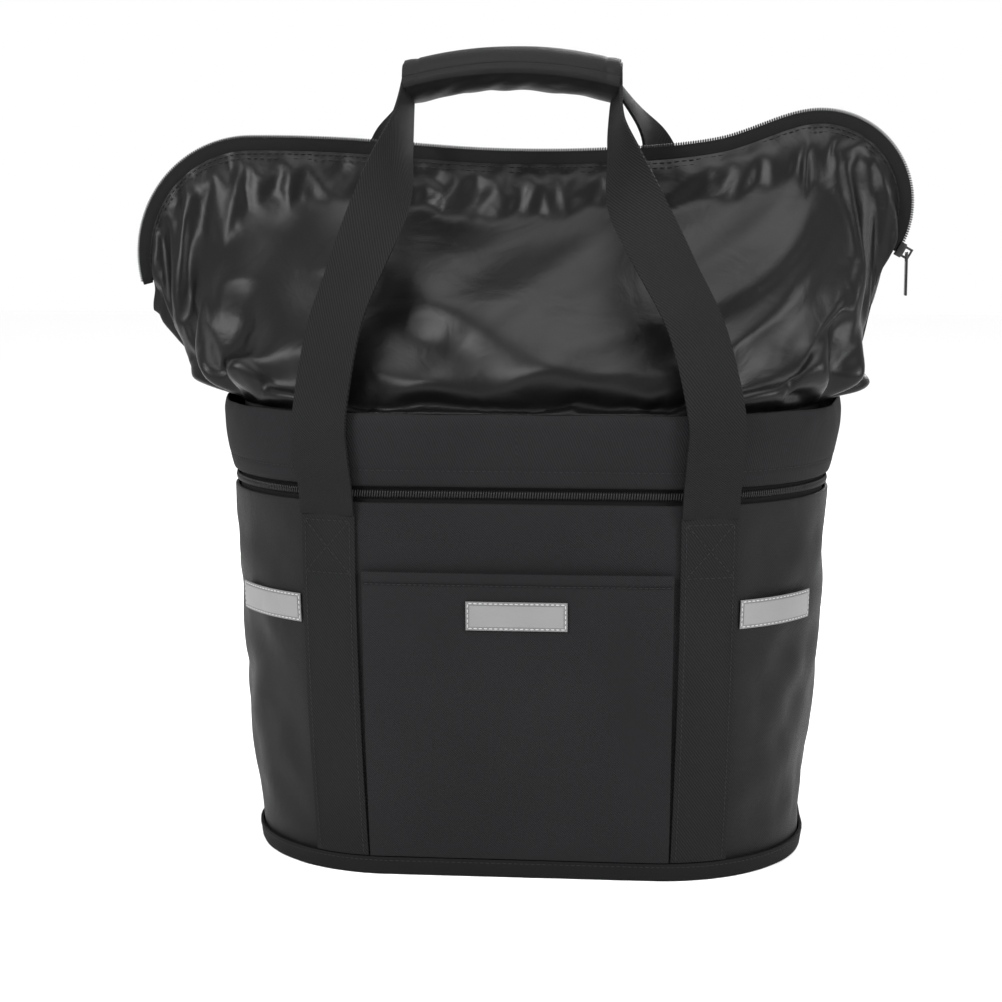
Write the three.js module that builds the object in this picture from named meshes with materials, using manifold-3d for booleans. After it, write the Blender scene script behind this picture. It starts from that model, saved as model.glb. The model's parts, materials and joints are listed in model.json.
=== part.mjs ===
// Handlebar basket: a soft zip-top bag with a stiff rim, webbing carry handles and a quick-release bracket.
// Millimetres, +Z up, front towards -Y, origin under the middle of the base.

import * as THREE from 'three';
import { mergeVertices } from 'three/addons/utils/BufferGeometryUtils.js';
import Module from 'manifold-3d';

const wasm = await Module();
wasm.setup();

// ---- Driving dimensions ----

// Plan of the bag: a flat back, large round corners at the front, and walls that draw in towards the base
const rimWidth = 368;
const sideTaper = 15;
const baseWidth = rimWidth - 2 * sideTaper;
const rimFront = 120;
const baseFront = 101;
const backFace = 115;
const rimCorner = 105;
const baseCorner = 90;
const backCorner = 60;

// Layers and clearances
const clearance = 0.5;
const columnsPerRun = [4, 9, 3, 6, 5];
const narrowestColumn = 5;
const wallThickness = 3;
const clothThickness = 2;
const boardThickness = 3;
const webbingWidth = 34;
const webbingThickness = 1.8;
const pipingSize = 3;

// Heights
const bindingHeight = 11;
const wallTop = 228;
const bandTop = wallTop + 52;
const pocketTop = wallTop - 40;
const pocketHem = 6;
const strapSewnTop = wallTop - 8;
const reflectorMiddle = wallTop - 65;

// Where things sit, measured round the wall from the middle of the front
const strapSpread = 111;
const sideSeam = 125;
const pipingSeam = 317;
const reflectorInset = 34;
const strapFlare = 14;
const pocketInset = 3.5;

// Rim zip, band and hoop
const coilHeight = 5.4;
const coilDepth = 2.4;
const tapeThickness = 0.6;
const tapeReach = 12;
const bandThickness = 3.5;
const bandSwell = 6;
const hoopHeight = 14;
const hoopThickness = 2;
const hemDepth = 30;

// Reflective strips
const reflectorWidth = 59;
const reflectorHeight = 17;
const reflectorThickness = 0.6;

// Ridge of the hood: an arc at each end and a shallow curve between them
const lobeInset = 8;
const leftLobe = { rise: 87, radius: 74, end: 211 };
const rightLobe = { rise: 119, radius: 57.5, end: -52 };
const zipReach = 0.93;
const hoodTurnIn = zipReach + 0.015;
const ridgeRise = 153;
const ridgeTape = 11;
const hoodBulge = 24;
const hoodClimb = 48;
const hoodHang = 46;
const hoodBelly = 30;
const hoodStraighten = 0.35;
const lipHalf = 3.6;
const ridgeSteps = 44;

// Grip
const gripLength = 134;
const gripShift = -12;
const gripAboveRidge = 47;
const gripHalfHeight = 11;
const gripHalfDepth = 15;
const gripWall = 2.4;
const gripArch = 9;
const flapThickness = 1.8;
const flapFrom = 15;
const flapTo = 190;

// Zip sliders and pulls
const sliderLength = 9;
const sliderWall = 1.4;
const pullLength = 26;
const pullWidth = 6;
const pullThickness = 1.4;
const pullWindow = 5;
const rimSliderPlace = 80;

// The bail is a small square ring on a slider, which the pull hangs from
const bailHalf = 3.6;
const bailHole = 2.2;
const bailWidth = 2.4;
const bailRise = 2.5;
const bailTop = 5;

// The rim zip runs in a gap that is wide enough for its slider
const zipGap = coilHeight / 2 + 2 * clearance + sliderWall;
const zipMiddle = wallTop + zipGap;

// Handlebar bracket
const adapterTop = wallTop - 48;
const adapterBottom = adapterTop - 75;
const adapterWidth = 90;
const adapterThickness = 5;
const channelHalf = 27.5;
const railWidth = 6;
const flangeThickness = 4;
const screwSpread = 39;
const screwInset = 8;
const screwRadius = 2;
const bodyHalf = 19;
const bodyDepth = 23;
const barRadius = 15.9;
const barBehindBody = 22;
const barHeight = adapterTop - 40;
const armInner = 24;
const armOuter = 38;
const clampHalf = 23;
const clampSplit = 1.5;
const clampWall = 6;
const boreSlack = 0.3;
const boltRadius = 2.5;
const boltHead = 4;
const boltWall = 1.6;
const screwHead = 2.2;
const bridgeDepth = 9;
const bridgeInset = 17;
const neckDepth = 7;
const bite = 1;

// Release button, latch and return spring
const buttonTravel = 5;
const buttonWidth = 16;
const buttonDepth = 10;
const buttonSetBack = 10;
const buttonFoot = 16;
const buttonShows = 4;
const latchTravel = 3;
const latchWidth = 12;
const latchBottom = 20;
const latchTop = 27;
const springLength = 13;
const springRadius = 4;
const springWire = 0.6;
const springTurns = 5;

// ---- Materials ----

const twill = ['#1b1b1d', 0.85, 0];
const nylon = ['#17171a', 0.45, 0];
const webbing = ['#151517', 0.75, 0];
const zipNylon = ['#0f0f11', 0.5, 0];
const blackMetal = ['#202022', 0.4, 0.8];
const blackPlastic = ['#1a1a1c', 0.55, 0];
const greyBoard = ['#3a3a3d', 0.7, 0];
const silverTape = ['#b9bcc0', 0.4, 0.1];
const aluminium = ['#a9abae', 0.35, 0.9];
const steel = ['#8d8f93', 0.3, 1];
const redPlastic = ['#b3221c', 0.45, 0];

const basket = new THREE.Group();
const { lerp, clamp, degToRad } = THREE.MathUtils;

function add(name, geometry, [color, roughness, metalness]) {
  const mesh = new THREE.Mesh(geometry, new THREE.MeshStandardMaterial({ color, roughness, metalness }));
  mesh.name = name;
  basket.add(mesh);
}

// ---- Shaping tools ----

// Moves every vertex of a geometry to the place that the function gives for it
function reshape(geometry, place) {
  const position = geometry.attributes.position;
  for (let i = 0; i < position.count; i++) {
    const spot = place(position.getX(i), position.getY(i), position.getZ(i));
    position.setXYZ(i, spot.x, spot.y, spot.z);
  }
  return geometry;
}

function toSolid(geometry) {
  const plain = geometry.clone();
  plain.deleteAttribute('normal');
  plain.deleteAttribute('uv');
  const merged = mergeVertices(plain, 1e-4);
  return new wasm.Manifold(new wasm.Mesh({
    numProp: 3,
    vertProperties: new Float32Array(merged.attributes.position.array),
    triVerts: new Uint32Array(merged.index.array),
  }));
}

function toGeometry(solid) {
  const mesh = solid.getMesh();
  const geometry = new THREE.BufferGeometry();
  geometry.setAttribute('position', new THREE.BufferAttribute(new Float32Array(mesh.vertProperties), 3));
  geometry.setIndex(new THREE.BufferAttribute(new Uint32Array(mesh.triVerts), 1));
  return geometry;
}

function join(first, ...others) {
  return toGeometry(others.reduce((solid, other) => solid.add(toSolid(other)), toSolid(first)));
}

function cut(first, ...others) {
  return toGeometry(others.reduce((solid, other) => solid.subtract(toSolid(other)), toSolid(first)));
}

// A block between two corners
function block(x, y, z) {
  const geometry = new THREE.BoxGeometry(x[1] - x[0], y[1] - y[0], z[1] - z[0]);
  return geometry.translate((x[0] + x[1]) / 2, (y[0] + y[1]) / 2, (z[0] + z[1]) / 2);
}

// A cylinder lying along Y, or along X, between two ends
function rodAlongY(radius, from, to, x, z, sides = 12) {
  return new THREE.CylinderGeometry(radius, radius, to - from, sides).translate(x, (from + to) / 2, z);
}

function rodAlongX(radius, from, to, y, z, sides = 32) {
  const geometry = new THREE.CylinderGeometry(radius, radius, to - from, sides).rotateZ(Math.PI / 2);
  return geometry.translate((from + to) / 2, y, z);
}

// ---- The wall's outline ----

// Half widths, front distance and the run of each stretch from the front's middle to the back's, at a height
function outlineAt(height) {
  const rise = 1 - (1 - clamp(height / wallTop, 0, 1)) ** 2;
  const half = lerp(baseWidth, rimWidth, rise) / 2;
  const front = lerp(baseFront, rimFront, rise);
  const frontCorner = lerp(baseCorner, rimCorner, rise);
  const runs = [
    half - frontCorner,
    frontCorner * Math.PI / 2,
    front + backFace - frontCorner - backCorner,
    backCorner * Math.PI / 2,
    half - backCorner,
  ];
  return { half, front, frontCorner, runs };
}

const rimRuns = outlineAt(wallTop).runs;
const halfRound = rimRuns.reduce((sum, run) => sum + run);

// How far round the side the middle of the bag lies, where the ends of the ridge stand
const sideMiddle = rimRuns[0] + rimRuns[1] + rimFront - rimCorner;

// A point on the wall: a distance round it as measured at the rim, a height, a distance out from the
// wall's outer face, and a true distance to shift it sideways along the wall
function around(distance, height, out, shift = 0) {
  const { half, front, frontCorner, runs } = outlineAt(height);
  const full = 2 * halfRound;
  const wrapped = ((distance % full) + full) % full;
  const mirror = wrapped > halfRound ? -1 : 1;
  let left = mirror > 0 ? wrapped : full - wrapped;
  let along = mirror * shift;
  for (let i = 0; i < runs.length && left > 0; i++) {
    along += runs[i] * Math.min(1, left / rimRuns[i]);
    left -= rimRuns[i];
  }
  const side = along < 0 ? -mirror : mirror;
  along = Math.abs(along);
  let stretch = 0;
  while (stretch < 4 && along > runs[stretch]) {
    along -= runs[stretch];
    stretch++;
  }
  const places = [
    () => [along, -front, 0, -1],
    () => corner(half - frontCorner, frontCorner - front, frontCorner, along / frontCorner - Math.PI / 2),
    () => [half, frontCorner - front + along, 1, 0],
    () => corner(half - backCorner, backFace - backCorner, backCorner, along / backCorner),
    () => [half - backCorner - along, backFace, 0, 1],
  ];
  const [x, y, outX, outY] = places[stretch]();
  return new THREE.Vector3(side * (x + outX * out), y + outY * out, height);
}

function corner(x, y, radius, angle) {
  return [x + radius * Math.cos(angle), y + radius * Math.sin(angle), Math.cos(angle), Math.sin(angle)];
}

// Distances round the wall at which every sheet and ring has its columns, so that layers stay parallel
function columnMarks() {
  const turnIns = [hoodTurnIn * sideMiddle, lerp(halfRound, sideMiddle, hoodTurnIn)];
  const seams = [sideSeam, pipingSeam, sideMiddle, ...turnIns];
  const even = [];
  let passed = 0;
  rimRuns.forEach((run, i) => {
    for (let step = 0; step < columnsPerRun[i]; step++) even.push(passed + run * step / columnsPerRun[i]);
    passed += run;
  });
  const clear = even.filter((mark) => seams.every((seam) => Math.abs(seam - mark) > narrowestColumn));
  const half = [...seams, ...clear].sort((a, b) => a - b);
  const other = half.filter((mark) => mark > 0).map((mark) => 2 * halfRound - mark).reverse();
  return [...half, halfRound, ...other];
}

const marks = columnMarks();

// The column marks between two distances, and the two distances themselves
function marksBetween(from, to) {
  const full = 2 * halfRound;
  const twice = [...marks.map((mark) => mark - full), ...marks];
  const between = twice.filter((mark) => mark > from + 1 && mark < to - 1);
  return [from, ...between, to];
}

// A piece of sheet that follows the wall between two distances round it
function wallSheet(from, to, low, high, inner, outer, rows) {
  const columns = marksBetween(from, to);
  const last = columns.length - 1;
  return reshape(new THREE.BoxGeometry(1, 1, 1, last, 1, rows), (x, y, z) =>
    around(columns[Math.round((x + 0.5) * last)], lerp(low, high, z + 0.5), lerp(outer, inner, y + 0.5)));
}

// A strip of constant width that runs up the wall, or a patch on it
function wallPatch(middle, width, low, high, inner, outer, columns, rows) {
  return reshape(new THREE.BoxGeometry(1, 1, 1, columns, 1, rows), (x, y, z) =>
    around(middle, lerp(low, high, z + 0.5), lerp(outer, inner, y + 0.5), x * width));
}

// A closed ring round the wall from a closed profile of [out, height] points, anticlockwise
function wallRing(profile, place = around) {
  const reach = 100;
  const points = [...profile, profile[0]].map(([out, height]) => new THREE.Vector2(reach + out, height));
  return reshape(new THREE.LatheGeometry(points, marks.length), (x, y, z) => {
    const column = Math.round(Math.atan2(x, z) / (2 * Math.PI) * marks.length + marks.length) % marks.length;
    return place(marks[column], y, Math.hypot(x, z) - reach);
  });
}

// A flat sheet over the whole plan, set in from the wall's outer face
function planSheet(inset, low, high) {
  const points = marks.map((mark) => {
    const spot = around(mark, low, -inset);
    return new THREE.Vector2(spot.x, spot.y);
  });
  const shape = new THREE.Shape(points);
  const geometry = new THREE.ExtrudeGeometry(shape, { depth: high - low, bevelEnabled: false });
  return geometry.translate(0, 0, low);
}

const rectangle = (inner, outer, low, high) => [[outer, low], [outer, high], [inner, high], [inner, low]];

// ---- Base, walls and pocket ----

const inside = wallThickness + clearance;

function buildBody() {
  add('base_panel', planSheet(inside, 0, clothThickness), twill);
  const boardBottom = clothThickness + clearance;
  add('base_board', planSheet(inside, boardBottom, boardBottom + boardThickness), greyBoard);
  add('base_binding', wallRing(rectangle(clearance, clearance + clothThickness, 0, bindingHeight)), webbing);

  const seam = clearance / 2;
  const front = sideSeam - seam;
  add('front_panel', wallSheet(-front, front, 0, wallTop, -wallThickness, 0, 5), twill);
  const sideFrom = sideSeam + seam;
  const sideTo = pipingSeam - pipingSize / 2 - clearance;
  add('right_side_panel', wallSheet(sideFrom, sideTo, 0, wallTop, -wallThickness, 0, 5), nylon);
  add('left_side_panel', wallSheet(-sideTo, -sideFrom, 0, wallTop, -wallThickness, 0, 5), nylon);

  for (const [name, middle] of [['right_piping', pipingSeam], ['left_piping', -pipingSeam]]) {
    const from = bindingHeight + clearance;
    const cord = wallPatch(middle, pipingSize, from, wallTop, -wallThickness, pipingSize / 2, 2, 5);
    add(name, cord, webbing);
  }
  const backFrom = pipingSeam + pipingSize / 2 + clearance;
  const back = wallSheet(backFrom, 2 * halfRound - backFrom, 0, wallTop, -wallThickness, 0, 5);
  add('back_panel', cut(back, ...screwHoles()), twill);

  const boardHalf = rimRuns[4] - clearance;
  const board = wallSheet(halfRound - boardHalf, halfRound + boardHalf, bindingHeight, wallTop - screwInset,
    -inside - boardThickness, -inside, 5);
  add('back_board', cut(board, ...screwHoles()), greyBoard);

  const pocketHalf = strapSpread - webbingWidth / 2 - pocketInset;
  const pocketOut = clearance + clothThickness;
  const hemFrom = pocketTop - pocketHem;
  const pocketFrom = bindingHeight + clearance;
  const pocket = wallSheet(-pocketHalf, pocketHalf, pocketFrom, hemFrom - clearance, clearance, pocketOut, 4);
  add('front_pocket', pocket, twill);
  const hem = wallSheet(-pocketHalf, pocketHalf, hemFrom, pocketTop, clearance, pocketOut + tapeThickness, 1);
  add('pocket_hem', hem, webbing);
}

// Cylinders that the four adapter screws pass through
function screwHoles() {
  return screwPlaces().map(([x, z]) => rodAlongY(screwRadius + clearance, 0, 2 * backFace, x, z));
}

function screwPlaces() {
  const heights = [adapterBottom + screwInset, adapterTop - screwInset];
  return heights.flatMap((z) => [[-screwSpread, z], [screwSpread, z]]);
}

// ---- Rim: zip, band and hoop ----

function buildRim() {
  const tapeOuter = -inside;
  const tapeInner = tapeOuter - tapeThickness;
  const split = clearance / 2;
  const lowerTape = rectangle(tapeInner, tapeOuter, zipMiddle - tapeReach, zipMiddle - split);
  add('rim_zip_lower_tape', wallRing(lowerTape), webbing);
  const upperTape = rectangle(tapeInner, tapeOuter, zipMiddle + split, zipMiddle + tapeReach);
  add('rim_zip_upper_tape', wallRing(upperTape), webbing);
  const coilOuter = tapeOuter + clearance + coilDepth;
  const coilHalf = coilHeight / 2;
  const coil = rectangle(tapeOuter + clearance, coilOuter, zipMiddle - coilHalf, zipMiddle + coilHalf);
  add('rim_zip_coil', wallRing(coil), zipNylon);

  const bandBottom = zipMiddle + zipGap;
  const bandRise = bandTop - bandBottom;
  const band = [
    [0, bandBottom],
    [bandSwell * 0.6, bandBottom + bandRise * 0.3],
    [bandSwell, bandBottom + bandRise * 0.75],
    [bandSwell - 1, bandTop],
    [bandSwell - bandThickness, bandTop],
    [bandSwell - bandThickness, bandBottom + bandRise * 0.75],
    [bandSwell * 0.6 - bandThickness, bandBottom + bandRise * 0.3],
    [clearance - wallThickness, bandBottom],
  ];
  add('rim_band', wallRing(band), twill);

  const hoopOuter = tapeInner;
  const hoopBottom = zipMiddle + tapeReach + clearance;
  const hoop = rectangle(hoopOuter - hoopThickness, hoopOuter, hoopBottom, hoopBottom + hoopHeight);
  add('rim_frame', wallRing(hoop), aluminium);
}

// ---- Hood and its ridge ----

const lobeX = rimWidth / 2 - lobeInset;

// The ridge in the XZ plane, from its left end to its right end
function ridgeCurve() {
  const path = new THREE.Path();
  const leftZ = bandTop + leftLobe.rise;
  const rightZ = bandTop + rightLobe.rise;
  const quarter = Math.PI / 2;
  path.absarc(-lobeX, leftZ, leftLobe.radius, degToRad(leftLobe.end), quarter, true);
  const span = 2 * lobeX;
  const ridge = bandTop + ridgeRise;
  path.splineThru([
    new THREE.Vector2(-lobeX + span * 0.17, lerp(leftZ + leftLobe.radius, ridge, 0.2)),
    new THREE.Vector2(-lobeX + span * 0.42, ridge),
    new THREE.Vector2(-lobeX + span * 0.63, ridge),
    new THREE.Vector2(-lobeX + span * 0.82, lerp(ridge, rightZ + rightLobe.radius, 0.25)),
    new THREE.Vector2(lobeX, rightZ + rightLobe.radius),
  ]);
  path.absarc(lobeX, rightZ, rightLobe.radius, quarter, degToRad(rightLobe.end), true);
  return path;
}

const ridge = ridgeCurve();

// A point on or near the ridge: how far along it (0 to 1), a distance to the back, and one outwards
function onRidge(along, back, out) {
  const spot = ridge.getPoint(along);
  const tangent = ridge.getTangent(along);
  return new THREE.Vector3(spot.x - tangent.y * out, back, spot.y + tangent.x * out);
}

function ridgeStrip(from, to, front, back, low, high, steps) {
  return reshape(new THREE.BoxGeometry(1, 1, 1, steps, 1, 1), (x, y, z) =>
    onRidge(lerp(from, to, x + 0.5), lerp(front, back, y + 0.5), lerp(low, high, z + 0.5)));
}

// A point of the hood: a distance round the rim, a rise (below 0 inside the band, 1 at the lip under the
// ridge zip) and a distance out from its outer face
function hoodPoint(distance, rise, out) {
  const full = 2 * halfRound;
  const wrapped = ((distance % full) + full) % full;
  const right = wrapped <= halfRound;
  const half = right ? wrapped : full - wrapped;
  const front = half < sideMiddle;
  const reach = front ? half / sideMiddle : (halfRound - half) / (halfRound - sideMiddle);
  const tuck = tapeThickness + inside + hoopThickness + clearance;
  if (rise <= 0) return around(distance, bandTop + rise * hemDepth, out - tuck);

  const foot = around(distance, bandTop, out - tuck);
  const outward = around(distance, bandTop, 1).sub(around(distance, bandTop, 0));
  const sideways = right ? 1 : -1;
  const toBack = front ? -1 : 1;
  const along = 0.5 + 0.5 * sideways * reach;
  const bluntness = reach ** 8;
  const lipY = toBack * (lipHalf + out) * Math.sqrt(1 - bluntness);
  const turnedIn = THREE.MathUtils.smoothstep(reach, hoodTurnIn + 0.001, 1);
  const inset = lerp(ridgeTape + 2 * clearance, clothThickness, turnedIn);
  const lip = onRidge(along, lipY, -inset);
  lip.x += sideways * (clothThickness + out) * bluntness;
  const atEnd = reach ** 4;
  const straight = lip.clone().sub(foot).multiplyScalar(hoodStraighten);
  const below = onRidge(along, lipY, -inset - hoodHang).sub(lip).lerp(straight.clone().negate(), atEnd);
  below.add(lip);
  below.y += toBack * hoodBelly * (1 - reach ** 2);
  const climb = new THREE.Vector3(0, 0, hoodClimb).lerp(straight, atEnd);
  const above = foot.clone().add(climb).addScaledVector(outward, hoodBulge * (1 - 0.6 * atEnd));
  return new THREE.CubicBezierCurve3(foot, above, below, lip).getPoint(rise);
}

function buildHood() {
  const rises = [-1, 0, 0.12, 0.28, 0.45, 0.65, 0.85, 1];
  const outer = rises.map((rise) => [0, rise]);
  const inner = rises.map((rise) => [-clothThickness, rise]).reverse();
  add('hood', wallRing([...outer, ...inner], hoodPoint), nylon);

  const chainHalf = coilDepth / 2;
  const from = 0.5 - zipReach / 2;
  const to = 0.5 + zipReach / 2;
  add('top_zip_chain', ridgeStrip(from, to, -chainHalf, chainHalf, -coilHeight, 0, ridgeSteps), zipNylon);
  const near = chainHalf + clearance;
  const far = near + tapeThickness;
  const tapeTop = -coilHeight / 2;
  add('top_zip_front_tape', ridgeStrip(from, to, -far, -near, -ridgeTape, tapeTop, ridgeSteps), webbing);
  add('top_zip_back_tape', ridgeStrip(from, to, near, far, -ridgeTape, tapeTop, ridgeSteps), webbing);
}

// ---- Zip sliders and pulls ----

function buildRimSlider() {
  const face = backFace - inside + clearance + coilDepth;
  const half = sliderLength / 2;
  const reach = coilHeight / 2 + clearance;
  const x = [rimSliderPlace - half, rimSliderPlace + half];
  const outerFace = face + clearance + sliderWall;
  const reachOut = reach + sliderWall;
  const shell = block(x, [face - coilDepth / 2, outerFace], [zipMiddle - reachOut, zipMiddle + reachOut]);
  const tunnel = [face - coilDepth, face + clearance];
  const channel = block([x[0] - 1, x[1] + 1], tunnel, [zipMiddle - reach, zipMiddle + reach]);
  const ring = bailRing().rotateX(-Math.PI / 2).rotateY(Math.PI / 2);
  const bail = ring.translate(rimSliderPlace, outerFace, zipMiddle);
  add('rim_zip_slider', join(cut(shell, channel), bail), blackMetal);
  add('rim_zip_pull', pullTab([rimSliderPlace, outerFace + bailRise, zipMiddle], 'x'), blackMetal);
}

// The bail: a small square ring standing on a face at z = 0, its hole running along y
function bailRing() {
  const half = bailWidth / 2;
  return cut(
    block([-bailHalf, bailHalf], [-half, half], [-0.2, bailTop]),
    block([-bailHole, bailHole], [-bailWidth, bailWidth], [0.6, bailTop - 1.2]),
  );
}

// A flat tab hanging straight down from a pivot, with a window at its top for the slider's bail
function pullTab([x, y, z], axis) {
  const wide = pullWidth / 2;
  const thin = pullThickness / 2;
  const window = bailWidth / 2 + clearance;
  const low = z - pullLength;
  const top = z + thin;
  const tab = axis === 'x'
    ? block([x - wide, x + wide], [y - thin, y + thin], [low, top])
    : block([x - thin, x + thin], [y - wide, y + wide], [low, top]);
  const opening = axis === 'x'
    ? block([x - window, x + window], [y - 2 * thin, y + 2 * thin], [z - pullWindow, z - thin])
    : block([x - 2 * thin, x + 2 * thin], [y - window, y + window], [z - pullWindow, z - thin]);
  return cut(tab, opening);
}

function buildTopSlider() {
  const lobeZ = bandTop + rightLobe.rise;
  const chainEnd = ridge.getPoint(0.5 + zipReach / 2);
  const end = Math.atan2(chainEnd.y - lobeZ, chainEnd.x - lobeX);
  const lean = Math.PI / 2 - end;
  const inner = coilDepth / 2 + clearance;
  const outer = inner + sliderWall;
  const half = sliderLength / 2;
  const radius = rightLobe.radius;
  const top = radius + clearance + sliderWall;
  const shell = block([-half, half], [-outer, outer], [radius - coilHeight / 2 + clearance, top]);
  const channel = block([-sliderLength, sliderLength], [-inner, inner], [0, radius + clearance]);
  const bail = bailRing().translate(0, 0, top);
  const slider = join(cut(shell, channel), bail).rotateY(lean).translate(lobeX, 0, lobeZ);
  add('top_zip_slider', slider, blackMetal);
  const pivotReach = top + bailRise - 0.2;
  const pivot = [lobeX + Math.cos(end) * pivotReach, 0, lobeZ + Math.sin(end) * pivotReach];
  add('top_zip_pull', pullTab(pivot, 'y'), blackMetal);
}

// ---- Reflective strips ----

function buildReflectors() {
  const low = reflectorMiddle - reflectorHeight / 2;
  const high = reflectorMiddle + reflectorHeight / 2;
  const onPocket = 2 * clearance + clothThickness;
  const strip = (middle, out) =>
    wallPatch(middle, reflectorWidth, low, high, out, out + reflectorThickness, 8, 1);
  add('front_reflector', strip(0, onPocket), silverTape);
  const aside = strapSpread + webbingWidth / 2 + reflectorInset - 1;
  add('right_reflector', strip(aside, clearance), silverTape);
  add('left_reflector', strip(-aside, clearance), silverTape);
}

// ---- Webbing ----

// Where each of the four webbing legs stands round the wall, and which side of the bag it is on
const legs = [
  { name: 'front_left', place: -strapSpread, side: -1, face: -1 },
  { name: 'front_right', place: strapSpread, side: 1, face: -1 },
  { name: 'back_left', place: halfRound + strapSpread, side: -1, face: 1 },
  { name: 'back_right', place: halfRound - strapSpread, side: 1, face: 1 },
];

const gripMiddle = bandTop + ridgeRise + gripAboveRidge;

// Bends a flat strap along a curve, its width turning from one direction to another and folding in half
// as it nears the grip
function bentStrap(curve, widthAt, steps) {
  return reshape(new THREE.BoxGeometry(webbingWidth, webbingThickness, 1, 1, 1, steps), (x, y, z) => {
    const along = z + 0.5;
    const tangent = curve.getTangent(along);
    const width = widthAt(along);
    width.addScaledVector(tangent, -width.dot(tangent)).normalize();
    const normal = tangent.clone().cross(width);
    const folded = lerp(1, 0.45, THREE.MathUtils.smoothstep(along, 0.8, 1));
    return curve.getPoint(along).addScaledVector(width, x * folded).addScaledVector(normal, y);
  });
}

function freeStrap({ place, side, face }) {
  const lift = clearance + webbingThickness / 2;
  const start = strapSewnTop + clearance;
  const bandMiddle = (zipMiddle + bandTop) / 2;
  const low = [[start, lift], [zipMiddle + 4, 4], [bandMiddle, bandSwell + 3], [bandTop, bandSwell + 4]];
  const points = low.map(([height, out]) => around(place, height, out));
  const from = points[points.length - 1];
  const endX = gripShift + side * (gripLength / 2 + 3);
  const endZ = gripMiddle - gripArch - 4;
  const endY = face * (webbingThickness / 2 + 9);
  const flare = face > 0 ? strapFlare : 0;
  for (const part of [0.25, 0.45, 0.65, 0.84, 1]) {
    const lean = THREE.MathUtils.smoothstep(part, 0, 0.9);
    const x = lerp(from.x, endX, lean) + side * flare * Math.sin(Math.PI * part ** 3);
    points.push(new THREE.Vector3(x, lerp(from.y, endY, part ** 1.8), lerp(from.z, endZ, part)));
  }
  const curve = new THREE.CatmullRomCurve3(points);
  const flat = around(place, start, 0, 1).sub(around(place, start, 0, -1));
  const edgeOn = new THREE.Vector3(0, -side, 0);
  return bentStrap(curve, (along) => {
    const turn = THREE.MathUtils.smoothstep(along, 0.5, 0.94);
    return flat.clone().lerp(edgeOn, turn).normalize();
  }, 20);
}

function buildWebbing() {
  for (const leg of legs) {
    const from = bindingHeight + clearance;
    const face = clearance + webbingThickness;
    const sewn = wallPatch(leg.place, webbingWidth, from, strapSewnTop, clearance, face, 4, 5);
    add(`${leg.name}_webbing_sewn`, sewn, webbing);
    add(`${leg.name}_webbing_free`, freeStrap(leg), webbing);
  }
}

// ---- Grip ----

// Runs a shape drawn in the YZ plane along the grip, dropping its ends
function alongGrip(shape, length, steps = 8) {
  const options = { depth: length, steps, bevelEnabled: false, curveSegments: 9 };
  const geometry = new THREE.ExtrudeGeometry(shape, options);
  return reshape(geometry, (y, z, x) => {
    const across = x - length / 2;
    const drop = gripArch * (across / (gripLength / 2)) ** 2;
    return new THREE.Vector3(across + gripShift, y, z + gripMiddle - drop);
  });
}

function buildGrip() {
  const round = 2 * Math.PI;
  const wrap = new THREE.Shape().absellipse(0, 0, gripHalfDepth, gripHalfHeight, 0, round);
  const hollow = new THREE.Path();
  hollow.absellipse(0, 0, gripHalfDepth - gripWall, gripHalfHeight - gripWall, 0, round);
  wrap.holes.push(hollow);
  add('grip_wrap', alongGrip(wrap, gripLength), nylon);

  const low = clearance;
  const high = clearance + flapThickness;
  const flap = new THREE.Shape();
  const from = degToRad(flapFrom);
  const to = degToRad(flapTo);
  flap.absellipse(0, 0, gripHalfDepth + high, gripHalfHeight + high, from, to);
  flap.absellipse(0, 0, gripHalfDepth + low, gripHalfHeight + low, to, from, true);
  add('grip_flap', alongGrip(flap, gripLength - 2), nylon);

  const tall = gripHalfHeight - gripWall - 1.4;
  for (const [name, face] of [['front_grip_webbing', -1], ['back_grip_webbing', 1]]) {
    const near = face * clearance;
    const far = face * (clearance + 2 * webbingThickness);
    const [y0, y1] = [Math.min(near, far), Math.max(near, far)];
    const corners = rectangle(y0, y1, -tall, tall).map(([y, z]) => new THREE.Vector2(y, z));
    add(name, alongGrip(new THREE.Shape(corners), gripLength - 2), webbing);
  }
}

// ---- Handlebar adapter, bracket and release ----

const plateFace = backFace + clearance + adapterThickness;
const latchSpan = (extra) => [barHeight + latchBottom - extra, barHeight + latchTop + extra];

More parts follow.
